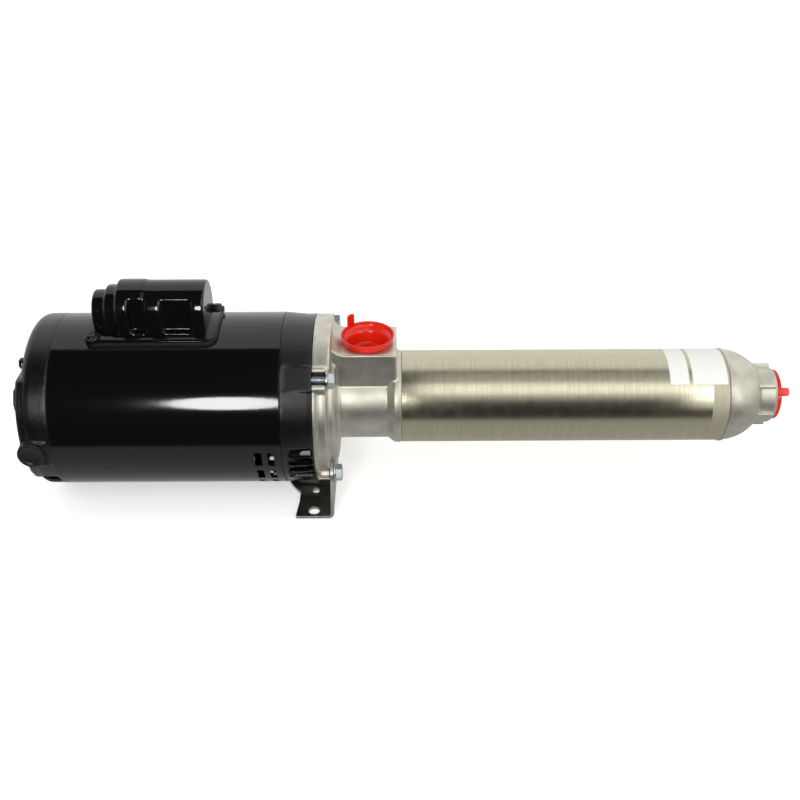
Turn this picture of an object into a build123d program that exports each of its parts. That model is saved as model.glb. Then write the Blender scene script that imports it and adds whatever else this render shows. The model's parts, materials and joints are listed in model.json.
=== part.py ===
from build123d import *
import math
import os

# Close-coupled multistage booster pump on a single foot. X runs along the shaft from the motor to the
# discharge, Z is up, and the origin is on the underside of the foot, midway between its two main holes.
# Every piece is drawn about the shaft line and lifted to shaft height when it is written.

INCH = 25.4

# ---- Clearances ----
running_gap = 0.05        # journal in a bushing, rings on their seats
slip_gap = 0.15           # pieces that slide together at assembly
air_gap = 0.4             # turning piece beside a fixed one

# ---- Foot bracket ----
floor_gap = 6.4           # under the motor; with a 165 mm motor this gives the 3.5 in shaft height
foot_sheet = 3.0
foot_half_width = 78.4
foot_back = 17.4          # edge of the foot behind the line of its holes
foot_ear_width = 22.0
foot_ear_slant = 2.2
foot_hole_spacing = 5.5 * INCH
foot_hole_r = 5.55
inner_hole_spacing = 78.8
inner_hole_r = 3.6
leg_x = 16.6              # motor side of the upright leg
foot_bend_r = 3.0
tongue_r = 58.0
tongue_x = 25.9
leg_ear_r = 13.0
leg_window_r = 64.0

# ---- Motor face, C-face standard ----
bolt_circle_r = 5.875 * INCH / 2
bolt_r = 0.375 * INCH / 2
bolt_angles = (45, 135, 225, 315)
bolt_head_flats = 14.3
bolt_head_height = 6.4
bolt_grip_in_bell = 17.0
washer_r = 9.5
washer_thickness = 1.8
register_r = 4.5 * INCH / 2
register_depth = 3.2
lug_thickness = 12.7
face_x = leg_x - lug_thickness

# ---- Motor ----
motor_r = 82.5
shell_wall = 2.0
shell_front_x = -25.5
shell_rear_x = -233.6
bell_wall = 5.0
bell_spigot_length = 6.0
front_taper = 3.0         # fall of the front bell's radius from the shell to the face
pad_cover = 1.2           # metal over the bolt holes at the flat pads
pad_width = 24.0
rear_wall_x = -259.3
rear_edge_r = 9.0
shell_slot_pitch = 17.5
shell_slot_chord = 18.0
shell_slot_columns = ((-50.6, -43.7), (-38.5, -32.5))
bell_window_rear = -19.6
bell_window_front = 2.0
bell_window_pitch = 8.8
bell_window_share = 0.87  # of the pitch, at the motor's face
bell_window_depth = 12.0
bell_window_count = 4     # openings between two bolt pads
bell_window_starts = (187.5, 236.1, 277.5, 326.1)
rear_vent_inner_r = 34.0
rear_vent_outer_r = 62.0
rear_vent_width = 6.0
rear_vent_pitch = 15
rim_vent_width = 14.0
rim_vent_pitch = 18
compartment_rise = 3.8
compartment_y = -26.0
compartment_low = -46.0
compartment_high = 56.0
compartment_wall = 15.0
cover_sheet = 1.5
conduit_x = -252.6
conduit_z = -7.0
conduit_r = 11.2
conduit_boss_r = 13.0
conduit_rise = 2.1        # conduit boss proud of the motor

# ---- Stator and rotor ----
core_rear = -165.0
core_front = -85.0
stator_bore_r = 45.0
slot_count = 18
slot_width = 9.0
slot_inner_r = 46.6
slot_to_bolt = 7.0        # from the winding slots to the centre of a through bolt
slot_liner = 0.2
end_turn_length = 22.0
end_turn_bulge = 2.0      # end turns proud of the slots
through_bolt_inset = 11.5 # from the motor's outside to the centre of a through bolt
through_bolt_r = 2.5
through_bolt_angles = (60, 120, 240, 300)
rotor_fin_count = 8
rotor_ring_inner_r = 27.0
rotor_ring_width = 12.0
rotor_fin_length = 10.0
shaft_core_r = 10.0
fan_disc_x = -38.0
fan_disc_thickness = 2.5
fan_blade_width = 16.0
fan_blade_count = 9
fan_r = 60.0

# ---- Bearings, 6203 size ----
bearing_bore_r = 8.5
bearing_outer_r = 20.0
bearing_width = 12.0
bearing_ball_r = 3.3
bearing_shield = 0.8
front_bearing_x = -18.0
rear_bearing_x = -249.0
bearing_hub_r = 26.0
bearing_stop = 9.0        # wall of the front bell before its bearing

# ---- Capacitor cover ----
cap_rear_x = -195.9
cap_front_x = -92.6
cap_rise = 42.5           # top of the cover above the motor shell
cap_half_width = 25.0
cap_sheet = 1.2
cap_lobe_front = (-183.3, -172.4, -148.0)
cap_lobe_half_width = (18.5, 22.0, 25.6)
cap_lobe_drop = (8.6, 4.0, -1.0)
cap_corner_r = 6.0
cap_flange_rear = -203.0
cap_flange_front = -83.0
cap_flange_half_width = 33.0
cap_flange_corner_r = 11.0
gasket_thickness = 3.6
capacitor_r = 18.0
capacitor_length = 80.0
cap_screw_inset = 7.0     # from the ends of the flange
cap_screw_spread = 17.0   # degrees either side of the top
cap_screw_ear_r = 6.0
cap_screw_head_r = 4.2
cap_screw_hole_r = 2.2

# ---- Adapter casting ----
lip_overhang = 0.5        # adapter lip proud of the bell's face
lip_thickness = 2.4
band_r = 75.0
hub_r = 62.0
hub_front_x = 23.5
throat_r = 40.0
throat_front_x = 71.6
collar_r = 44.9
collar_rear_x = 78.0
collar_front_x = 85.0
casting_wall = 6.0
lug_outer_r = 81.0
lug_width = 24.0
lug_slot_width = 11.6
block_rear_x = 19.9
block_front_x = 80.4
block_half_width = 27.5
block_top = 63.0
block_edge = 1.2
port_x = 53.2
port_bore_r = 20.0
spigot_length = 8.0
spigot_wall = 4.0

# ---- Pump shell, stage stack and discharge head ----
tube_r = 3.5 * INCH / 2
tube_wall = 2.0
stage_count = 7
stage_pitch = 38.0
plate_thickness = 4.0
spider_width = 14.0
eye_r = 17.5
bowl_wall = 1.5
bowl_plate = 2.0
bowl_partition = 20.0
bowl_vane_count = 5
bowl_vane_sweep = 40.0
impeller_r = 36.0
impeller_vane_count = 5
impeller_vane_sweep = -55.0
vane_thickness = 1.6
impeller_back = 14.0
impeller_shroud = 1.8
impeller_hub_r = 9.2
shaft_flats = 0.5 * INCH
dome_wall = 4.0
neck_r = 27.2
neck_end_r = 24.8
neck_end_x = 443.4
neck_chamfer_length = 3.2
neck_rib_height = 1.7
neck_rib_width = 4.6
neck_rib_count = 6
neck_rib_start = 11.0
dome_ridge = 0.9
dome_ridge_width = 3.0
seal_ring_width = 2.4
head_spigot_length = 14.7

# ---- Start switch, slinger, spider and nut ----
board_r = 42.0
board_thickness = 2.4
board_flat = 20.0
board_contact = (22.0, 32.0, 6.0, 7.6)      # from, to, half width, height
board_block = (-32.0, -24.0, 8.0, 4.6)
actuator_gap = 12.0
actuator_length = 14.0
actuator_plate_r = 24.0
actuator_plate = 2.0
actuator_weight = (15.0, 22.0, 8.0, 7.0)    # from, to, half width, length
slinger_r = 22.0
slinger_hub_r = 11.5
slinger_length = 4.4
slinger_disc = 2.0
spider_hub_r = 11.0
spider_hub_length = 11.0
spider_arm_width = 5.0
spider_ring = 4.0
nut_length = 7.0
nut_flats = 19.0

# ---- Seal and coupling ----
motor_shaft_r = 0.625 * INCH / 2
motor_shaft_end_x = 48.0
coupling_rear_x = 12.0
coupling_front_x = 60.0
coupling_r = 11.0
coupling_collar_r = 14.0
seal_bore_r = 16.0
seal_face_x = 25.5
seal_head_end_x = 46.0

# ---- Shipping plugs ----
plug_rim_r = 25.4
plug_wall = 1.6
plug_rim_height = 6.7
plug_depth = 14.0
plug_tip_r = 17.6
outlet_plug_rim_r = 24.2
outlet_plug_rim_height = 3.6
tab_width = 8.0
inlet_tab_height = 11.0
inlet_tab_angle = 132.0
outlet_tab_height = 7.0
outlet_tab_angle = 142.0
tab_thickness = 1.8

# ---- Places worked out from the sizes above ----
shell_bore_r = motor_r - shell_wall
tube_bore_r = tube_r - tube_wall
stack_outer_r = tube_bore_r - slip_gap
spigot_end_x = collar_front_x + spigot_length
stack_start_x = spigot_end_x + plate_thickness
stack_end_x = stack_start_x + stage_count * stage_pitch
spider_end_x = stack_end_x + spider_width
tube_end_x = spider_end_x + head_spigot_length
shaft_height = motor_r + floor_gap
front_face_r = motor_r - front_taper
lip_r = front_face_r + lip_overhang
cap_top = motor_r + cap_rise
pad_level = bolt_circle_r + bolt_r + pad_cover
conduit_boss_y = -motor_r - conduit_rise
through_bolt_circle_r = motor_r - through_bolt_inset
slot_outer_r = through_bolt_circle_r - slot_to_bolt
end_turn_outer_r = slot_outer_r + end_turn_bulge
bell_window_chord = bell_window_share * front_face_r * math.radians(bell_window_pitch)
ball_circle_r = (bearing_bore_r + bearing_outer_r) / 2
foot_level = -shaft_height
bolt_y = bolt_circle_r * math.cos(math.radians(45))


def turned(points):
    """Solid of revolution about the shaft line from (x, radius) points."""
    return revolve(make_face(Polyline(*points, close=True)), Axis.X, 360)


def tube(x0, x1, outer_r, inner_r=0.0):
    """Cylinder or tube on the shaft line."""
    return turned([(x0, inner_r), (x1, inner_r), (x1, outer_r), (x0, outer_r)])


def along_x(sketch, x0, x1):
    """Extrudes a (y, z) sketch from x0 to x1."""
    return extrude(Plane.YZ.offset(x0) * sketch, amount=x1 - x0)


def block(x0, x1, y0, y1, z0, z1):
    """Box between two corners."""
    middle = Pos((x0 + x1) / 2, (y0 + y1) / 2, (z0 + z1) / 2)
    return middle * Box(x1 - x0, y1 - y0, z1 - z0)


def around(shape, angles):
    """Copies of a shape that points along +Y, turned about the shaft line."""
    return [Rot(angle, 0, 0) * shape for angle in angles]


def rod(x0, x1, radius, angle, circle_r):
    """Round bar parallel to the shaft on a circle about it."""
    middle = Pos(circle_r * math.cos(math.radians(angle)), circle_r * math.sin(math.radians(angle)))
    return along_x(middle * Circle(radius), x0, x1)


def hex_bar(x0, x1, flats):
    """Hexagonal bar on the shaft line."""
    return along_x(RegularPolygon(flats / 2, 6, major_radius=False), x0, x1)


def polar(radius, angle):
    """Point of a (y, z) sketch."""
    return (radius * math.cos(math.radians(angle)), radius * math.sin(math.radians(angle)))


def vane(x0, x1, inner_r, outer_r, sweep, thickness):
    """Curved blade between two radii, swept back by an angle."""
    middle_r = (inner_r + outer_r) / 2
    step = math.degrees(thickness / middle_r)
    lower = ThreePointArc(polar(inner_r, 0), polar(middle_r, 0.6 * sweep), polar(outer_r, sweep))
    upper = ThreePointArc(polar(outer_r, sweep + step), polar(middle_r, 0.6 * sweep + step),
                          polar(inner_r, step))
    tip = Line(polar(outer_r, sweep), polar(outer_r, sweep + step))
    root = Line(polar(inner_r, step), polar(inner_r, 0))
    return along_x(make_face([lower.edge(), tip.edge(), upper.edge(), root.edge()]), x0, x1)


# ---- Foot ----

def foot_bracket():
    """Bent sheet foot: plate with a round tongue, upright leg with two ears and a round window."""
    front_x = leg_x + foot_sheet
    top = -bolt_y + leg_ear_r
    section = make_face(Polyline(
        (tongue_x - tongue_r, foot_level), (front_x, foot_level), (front_x, top), (leg_x, top),
        (leg_x, foot_level + foot_sheet), (tongue_x - tongue_r, foot_level + foot_sheet), close=True))
    outer_corner = section.vertices().sort_by_distance((front_x, foot_level))[0]
    section = fillet(outer_corner, foot_bend_r + foot_sheet)
    inner_corner = section.vertices().sort_by_distance((leg_x, foot_level + foot_sheet))[0]
    section = fillet(inner_corner, foot_bend_r)
    angle = extrude(Plane.XZ * section, amount=foot_half_width, both=True)
    inner_y = foot_half_width - foot_ear_width
    ears = make_face(Polyline(
        (front_x, -foot_half_width), (-foot_back, -foot_half_width),
        (foot_ear_slant - foot_back, -inner_y), (foot_ear_slant - foot_back, inner_y),
        (-foot_back, foot_half_width), (front_x, foot_half_width), close=True))
    ears = fillet(ears.vertices().group_by(Axis.X)[0], foot_sheet / 2)
    plan = ears + Pos(tongue_x, 0) * Circle(tongue_r)
    plan -= Pos(front_x + tongue_r, 0) * Rectangle(2 * tongue_r, 4 * tongue_r)
    for y in (-foot_hole_spacing / 2, foot_hole_spacing / 2):
        plan -= Pos(0, y) * Circle(foot_hole_r)
    for y in (-inner_hole_spacing / 2, inner_hole_spacing / 2):
        plan -= Pos(0, y) * Circle(inner_hole_r)
    plan = extrude(Plane.XY.offset(foot_level - 1) * plan, amount=shaft_height)
    shoulder = foot_level + 3 * foot_sheet
    front = make_face(Polyline(
        (-foot_half_width, foot_level), (foot_half_width, foot_level), (foot_half_width, shoulder),
        (bolt_y + leg_ear_r, -bolt_y), (0, -bolt_y), (-bolt_y - leg_ear_r, -bolt_y),
        (-foot_half_width, shoulder), close=True))
    for side in (-1, 1):
        front += Pos(side * bolt_y, -bolt_y) * Circle(leg_ear_r)
    front -= Circle(leg_window_r)
    for side in (-1, 1):
        front -= Pos(side * bolt_y, -bolt_y) * Circle(bolt_r + slip_gap)
    front = along_x(front, tongue_x - tongue_r - 1, front_x + 1)
    return angle & plan & front


# ---- Motor casing ----

def motor_shell():
    """Rolled steel tube with two columns of vent slots round its lower half."""
    shell = tube(shell_rear_x, shell_front_x, motor_r, shell_bore_r)
    slots = []
    for column in shell_slot_columns:
        slot = block(column[0], column[1], shell_bore_r - 3, motor_r + 3,
                     -shell_slot_chord / 2, shell_slot_chord / 2)
        slots += around(slot, [270 + shell_slot_pitch * (i + 0.5) for i in range(-4, 4)])
    return shell - slots - [cap_hole(x, angle) for x, angle in cap_screws]


def front_end_bell():
    """Cast front bell with spigot, C-face register, bearing hub, vent windows and bolt bosses."""
    inner_r = front_face_r - bell_wall
    wall_x = face_x - bell_wall
    bell = turned([
        (shell_front_x - bell_spigot_length, shell_bore_r - running_gap),
        (shell_front_x, shell_bore_r - running_gap), (shell_front_x, motor_r),
        (face_x - 3, front_face_r + 0.4), (face_x - 3, front_face_r), (face_x, front_face_r),
        (face_x, register_r), (face_x + register_depth, register_r),
        (face_x + register_depth, bearing_hub_r), (face_x, bearing_hub_r - 3), (face_x, motor_shaft_r + 1.5),
        (face_x - bearing_stop, motor_shaft_r + 1.5),
        (face_x - bearing_stop, bearing_outer_r + running_gap / 2),
        (front_bearing_x - 2, bearing_outer_r + running_gap / 2), (front_bearing_x - 2, bearing_hub_r),
        (wall_x, bearing_hub_r + 3), (wall_x, inner_r), (shell_front_x, inner_r),
        (shell_front_x - bell_spigot_length, shell_bore_r - bell_wall)])
    window = block(bell_window_rear, bell_window_front, front_face_r - bell_window_depth, motor_r + 3,
                   -bell_window_chord / 2, bell_window_chord / 2)
    for start in bell_window_starts:
        bell -= around(window, [start + bell_window_pitch * i for i in range(bell_window_count)])
    pad = block(shell_front_x + 1.5, face_x, bolt_circle_r, pad_level, -pad_width / 2, pad_width / 2)
    above = block(shell_front_x + 1.5, face_x, pad_level, motor_r + 3, -pad_width / 2, pad_width / 2)
    bell = bell + around(pad, bolt_angles) - around(above, bolt_angles)
    for angle in bolt_angles:
        boss = rod(shell_front_x + 2, face_x - 1, bolt_r + 4, angle, bolt_circle_r - 2)
        bell += boss & tube(shell_front_x, face_x, front_face_r - 1)
    for angle in bolt_angles:
        bell -= rod(face_x - bolt_grip_in_bell, face_x + 1, bolt_r + running_gap, angle, bolt_circle_r)
    for angle in through_bolt_angles:
        boss = rod(shell_front_x + 2, face_x - 1, through_bolt_r + 3, angle, through_bolt_circle_r)
        bell += boss
        bell -= rod(shell_front_x, face_x - 6, through_bolt_r + running_gap, angle, through_bolt_circle_r)
    return bell


def rear_end_bell():
    """Cast rear bell with bearing hub, terminal compartment, conduit boss and vents."""
    shape = turned([
        (shell_rear_x, 0), (shell_rear_x, motor_r), (rear_wall_x, motor_r), (rear_wall_x, 0)])
    rim = shape.edges().filter_by(GeomType.CIRCLE).sort_by(Axis.X)[0]
    shape = fillet(rim, rear_edge_r)
    raised = tube(rear_wall_x - compartment_rise, rear_wall_x + rear_edge_r, motor_r - 1.5)
    rim = raised.edges().filter_by(GeomType.CIRCLE).sort_by(Axis.X)[0]
    raised = fillet(rim, compartment_rise)
    raised &= block(rear_wall_x - 20, shell_rear_x, -motor_r, compartment_y,
                    compartment_low, compartment_high)
    shape += raised
    boss = Pos(conduit_x, conduit_boss_y, conduit_z) * Rot(90, 0, 0) * Cylinder(conduit_boss_r, 16)
    shape += Pos(0, 8, 0) * boss
    shape += block(conduit_x, shell_rear_x - 4, conduit_boss_y, -motor_r + 12,
                   conduit_z - conduit_boss_r, conduit_z + conduit_boss_r)
    hollow = tube(rear_wall_x + bell_wall, shell_rear_x, motor_r - bell_wall)
    shape -= hollow
    shape -= block(rear_wall_x - compartment_rise - 1, rear_wall_x + bell_wall + 1,
                   -motor_r + compartment_wall + 4, compartment_y - 5, compartment_low + 6,
                   compartment_high - 12)
    bore = Pos(conduit_x, -motor_r, conduit_z) * Rot(90, 0, 0) * Cylinder(conduit_r, 30)
    shape -= bore
    shape += tube(shell_rear_x, shell_rear_x + bell_spigot_length, shell_bore_r - running_gap,
                  shell_bore_r - bell_wall)
    shape += tube(shell_rear_x - 1, shell_rear_x, shell_bore_r, shell_bore_r - bell_wall)
    hub_front = rear_bearing_x + bearing_width + 2
    shape += tube(rear_wall_x, hub_front, bearing_hub_r)
    shape -= tube(rear_bearing_x, hub_front + 1, bearing_outer_r + running_gap / 2)
    shape -= tube(rear_bearing_x - 4, hub_front, shaft_core_r + 2)
    slot = block(rear_wall_x - 1, rear_wall_x + bell_wall + 1, rear_vent_inner_r, rear_vent_outer_r,
                 -rear_vent_width / 2, rear_vent_width / 2)
    shape -= around(slot, [rear_vent_pitch * i for i in range(-5, 6)])
    rim_slot = block(rear_wall_x + 4, shell_rear_x - 6, motor_r - 9, motor_r + 3,
                     -rim_vent_width / 2, rim_vent_width / 2)
    shape -= around(rim_slot, [270 + rim_vent_pitch * i for i in range(-3, 4)])
    for angle in through_bolt_angles:
        shape += rod(rear_wall_x + 1, shell_rear_x, through_bolt_r + 3, angle, through_bolt_circle_r)
        shape -= rod(rear_wall_x - 5, shell_rear_x + 8, through_bolt_r + slip_gap, angle,
                     through_bolt_circle_r)
    return shape


def terminal_cover():
    """Pressed cover over the terminal compartment, held by two screws."""
    x0 = rear_wall_x - compartment_rise - cover_sheet
    plate = block(x0, x0 + cover_sheet, -motor_r + compartment_wall, compartment_y - 1.5,
                  compartment_low + 2, compartment_high - 8)
    plate = fillet(plate.edges().filter_by(Axis.X), 6)
    return plate & tube(x0 - 1, x0 + 5, motor_r - 1.5 - compartment_rise)


def conduit_plug():
    """Round dished plug that closes the conduit hole."""
    face_y = conduit_boss_y
    body = Cylinder(conduit_r - slip_gap, 10) - Pos(0, 0, 3) * Cylinder(conduit_r - 1.6, 8)
    rim = Pos(0, 0, 5.6) * (Cylinder(conduit_r + 1.6, 1.2) - Cylinder(conduit_r - 1.6, 2))
    return Pos(conduit_x, face_y + 5, conduit_z) * Rot(90, 0, 0) * (body + rim)


def arch(half_width, top):
    """Half-round topped section of the capacitor cover, drawn down into the motor."""
    low = shell_bore_r / 2
    spring = top - half_width
    return Pos(0, (low + spring) / 2) * Rectangle(2 * half_width, spring - low) + Pos(0, spring) * Circle(
        half_width)


def cover_form(skin):
    """Outer form of the capacitor cover, shrunk all round by a skin thickness."""
    form = along_x(arch(cap_half_width - skin, cap_top - skin), cap_lobe_front[1] + skin,
                   cap_front_x - skin)
    form = fillet(form.faces().sort_by(Axis.X)[-1].edges(), cap_corner_r - skin)
    rear = cap_rear_x
    for front, half_width, drop in zip(cap_lobe_front, cap_lobe_half_width, cap_lobe_drop):
        form += along_x(arch(half_width - skin, cap_top - drop - skin), rear + skin, front + skin)
        rear = front
    return form


def footprint(grow, corner_r):
    """Prism over the rounded outline of the cover's flange."""
    length = cap_flange_front - cap_flange_rear + 2 * grow
    width = 2 * cap_flange_half_width + 2 * grow
    outline = Pos((cap_flange_front + cap_flange_rear) / 2, 0) * RectangleRounded(length, width, corner_r)
    return extrude(Plane.XY.offset(shell_bore_r / 2) * outline, amount=shell_bore_r)


cap_screws = ((cap_flange_front - cap_screw_inset, 90 - cap_screw_spread),
              (cap_flange_rear + cap_screw_inset, 90 + cap_screw_spread))


def cap_hole(x, angle):
    """Radial hole for a capacitor cover screw."""
    return Rot(angle, 0, 0) * Pos(x, motor_r, 0) * Rot(90, 0, 0) * Cylinder(cap_screw_hole_r, 20)


def capacitor_cover():
    """Pressed steel cover with three stepped lobes at its rear end and a saddle flange."""
    saddle_r = motor_r + gasket_thickness
    form = cover_form(0)
    flange = footprint(-1.5, cap_flange_corner_r - 1.5)
    flange &= tube(cap_flange_rear, cap_flange_front, saddle_r + cap_sheet, saddle_r)
    cover = form - tube(cap_flange_rear - 5, cap_flange_front + 5, saddle_r) + flange
    cover -= cover_form(cap_sheet)
    return cover - [cap_hole(x, angle) for x, angle in cap_screws]


def capacitor_gasket():
    """Rubber gasket between the motor shell and the saddle flange."""
    ring = footprint(0, cap_flange_corner_r) - footprint(-7.5, cap_flange_corner_r - 7.5)
    for x, angle in cap_screws:
        ear = Pos(x, motor_r * math.cos(math.radians(angle)), motor_r) * Cylinder(
            cap_screw_ear_r, motor_r)
        ring += ear & footprint(0, cap_flange_corner_r)
    ring &= tube(cap_flange_rear - 1, cap_flange_front + 1, motor_r + gasket_thickness, motor_r)
    return ring - [cap_hole(x, angle) for x, angle in cap_screws]


def capacitor():
    """Start capacitor can with two terminals."""
    z = motor_r + capacitor_r + 0.3
    x0 = (cap_rear_x + cap_front_x - capacitor_length) / 2 + 4
    can = Pos(0, 0, z) * tube(x0, x0 + capacitor_length, capacitor_r)
    for y in (-6, 6):
        can += block(x0 + capacitor_length, x0 + capacitor_length + 6, y - 3, y + 3, z - 0.4, z + 0.4)
    return can


def cap_screw(x, angle):
    """Pan screw through the flange and gasket into the shell."""
    seat_r = motor_r + gasket_thickness + cap_sheet + slip_gap
    end_r = shell_bore_r + running_gap
    turn = Rot(angle, 0, 0) * Pos(x, 0, 0) * Rot(-90, 0, 0)
    head = Pos(0, 0, seat_r + 1.4) * Cylinder(cap_screw_head_r, 2.8)
    shank = Pos(0, 0, (seat_r + end_r) / 2) * Cylinder(cap_screw_hole_r - slip_gap, seat_r - end_r)
    return turn * (head + shank)


def terminal_screws():
    """Two pan screws of the terminal cover."""
    x1 = rear_wall_x - compartment_rise - cover_sheet
    screw = Pos(0, compartment_y - 6, 0) * tube(x1 - 2.4, x1, 3.4)
    return Pos(0, 0, compartment_low + 6) * screw + Pos(0, 0, compartment_high - 14) * screw


# ---- Stator ----

def stator_core():
    """Lamination stack with its winding slots and through bolt holes."""
    core = tube(core_rear, core_front, shell_bore_r - running_gap, stator_bore_r)
    slot = block(core_rear - 1, core_front + 1, slot_inner_r, slot_outer_r, -slot_width / 2, slot_width / 2)
    core -= around(slot, [360 / slot_count * (i + 0.5) for i in range(slot_count)])
    return core - [rod(core_rear - 1, core_front + 1, through_bolt_r + slip_gap, angle,
                       through_bolt_circle_r) for angle in through_bolt_angles]


def stator_windings():
    """Copper bars in every slot, joined by the end turns."""
    half = slot_width / 2 - slot_liner
    bar = block(core_rear - 2, core_front + 2, slot_inner_r + slot_liner, slot_outer_r - slot_liner,
                -half, half)
    bars = around(bar, [360 / slot_count * (i + 0.5) for i in range(slot_count)])
    inner = slot_inner_r + slot_liner
    rear = tube(core_rear - end_turn_length, core_rear - 0.5, end_turn_outer_r, inner)
    front = tube(core_front + 0.5, core_front + end_turn_length, end_turn_outer_r, inner)
    return rear + front + bars


def through_bolt(angle):
    """Long bolt that clamps both bells on the shell."""
    bolt = rod(rear_wall_x, face_x - 8, through_bolt_r, angle, through_bolt_circle_r)
    middle = Pos(*polar(through_bolt_circle_r, angle))
    head = along_x(middle * RegularPolygon(4.0, 6, major_radius=False), rear_wall_x - 3.4, rear_wall_x)
    return bolt + head


def switch_board():
    """Insulated board of the start switch, seated on the rear bearing hub."""
    x0 = rear_bearing_x + bearing_width + 2
    x1 = x0 + board_thickness
    board = tube(x0, x1, board_r, shaft_core_r + 4)
    board -= block(x0 - 1, x1 + 1, -board_r, board_r, board_flat, 2 * board_r)
    for y0, y1, half_width, height in (board_contact, board_block):
        board += block(x1, x1 + height, y0, y1, -half_width, half_width)
    return board


# ---- Rotor ----

def motor_shaft():
    """Stepped motor shaft."""
    return turned([
        (rear_bearing_x - 2, 0), (motor_shaft_end_x, 0), (motor_shaft_end_x, motor_shaft_r),
        (front_bearing_x + bearing_width + 1, motor_shaft_r),
        (front_bearing_x + bearing_width + 1, bearing_bore_r), (front_bearing_x, bearing_bore_r),
        (front_bearing_x, shaft_core_r), (rear_bearing_x + bearing_width, shaft_core_r),
        (rear_bearing_x + bearing_width, bearing_bore_r), (rear_bearing_x - 2, bearing_bore_r)])


def rotor_core():
    """Rotor lamination stack."""
    return tube(core_rear, core_front, stator_bore_r - air_gap, shaft_core_r + running_gap / 2)


def rotor_cage():
    """Cast end rings with cooling fins."""
    outer_r = stator_bore_r - 1.5
    rings = tube(core_rear - rotor_ring_width, core_rear, outer_r, rotor_ring_inner_r)
    rings += tube(core_front, core_front + rotor_ring_width, outer_r, rotor_ring_inner_r)
    angles = [360 / rotor_fin_count * i for i in range(rotor_fin_count)]
    rear_x = core_rear - rotor_ring_width
    front_x = core_front + rotor_ring_width
    for x0, x1 in ((rear_x - rotor_fin_length, rear_x), (front_x, front_x + rotor_fin_length)):
        fin = block(x0, x1, rotor_ring_inner_r + 1.5, outer_r - 2.5, -1.4, 1.4)
        rings += around(fin, angles)
    return rings


def cooling_fan():
    """Radial fan on the shaft behind the front bell."""
    hub = tube(fan_disc_x - fan_blade_width, fan_disc_x + fan_disc_thickness, 15,
               shaft_core_r + running_gap / 2)
    fan = hub + tube(fan_disc_x, fan_disc_x + fan_disc_thickness, fan_r, shaft_core_r + 2)
    blade = block(fan_disc_x - fan_blade_width, fan_disc_x + 0.5, 22, fan_r - 1, -1, 1)
    return fan + around(blade, [360 / fan_blade_count * i for i in range(fan_blade_count)])


def switch_actuator():
    """Centrifugal actuator of the start switch."""
    x0 = rear_bearing_x + bearing_width + board_thickness + actuator_gap
    x1 = x0 + actuator_plate
    inner, outer, half_width, length = actuator_weight
    sleeve = tube(x0, x0 + actuator_length, shaft_core_r + 4, shaft_core_r + running_gap / 2)
    plate = tube(x0, x1, actuator_plate_r, shaft_core_r + 2)
    weight = block(x1, x1 + length, inner, outer, -half_width, half_width)
    return sleeve + plate + around(weight, (0, 180))


def bearing_outer(x0):
    """Outer ring of a ball bearing with its two shields."""
    race_r = ball_circle_r + bearing_ball_r + running_gap
    shield_r = ball_circle_r - bearing_ball_r - running_gap + air_gap
    x1 = x0 + bearing_width
    return turned([
        (x0, shield_r), (x0 + bearing_shield, shield_r), (x0 + bearing_shield, race_r),
        (x1 - bearing_shield, race_r), (x1 - bearing_shield, shield_r), (x1, shield_r),
        (x1, bearing_outer_r), (x0, bearing_outer_r)])


def bearing_inner(x0):
    """Inner ring of a ball bearing."""
    return tube(x0, x0 + bearing_width, ball_circle_r - bearing_ball_r - running_gap,
                bearing_bore_r + running_gap / 2)


def water_slinger():
    """Rubber disc that throws leaking water off the shaft."""
    x0 = face_x + register_depth + air_gap
    x1 = x0 + slinger_length
    bore = motor_shaft_r + running_gap / 2
    return turned([
        (x0, bore), (x1, bore), (x1, slinger_hub_r - 1), (x0 + slinger_disc, slinger_hub_r),
        (x0 + slinger_disc, slinger_r), (x0, slinger_r)])


# ---- Shell seals ----

def seal_groove(x):
    """Profile points of a seal ring's groove in a spigot, centred on x."""
    half = seal_ring_width / 2 + slip_gap
    floor_r = tube_bore_r - seal_ring_width
    return [(x - half, stack_outer_r), (x - half, floor_r), (x + half, floor_r), (x + half, stack_outer_r)]


def seal_ring(x):
    """Square-cut rubber ring that seals the pump shell on a spigot."""
    half = seal_ring_width / 2
    return tube(x - half, x + half, tube_bore_r, tube_bore_r - seal_ring_width)


# ---- Adapter ----

def adapter_lug():
    """Lug with an open slot, pointing along +Y."""
    lug = block(face_x, leg_x, hub_r - 4, lug_outer_r, -lug_width / 2, lug_width / 2)
    return fillet(lug.edges().filter_by(Axis.X).group_by(Axis.Y)[-1], 3)


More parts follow.
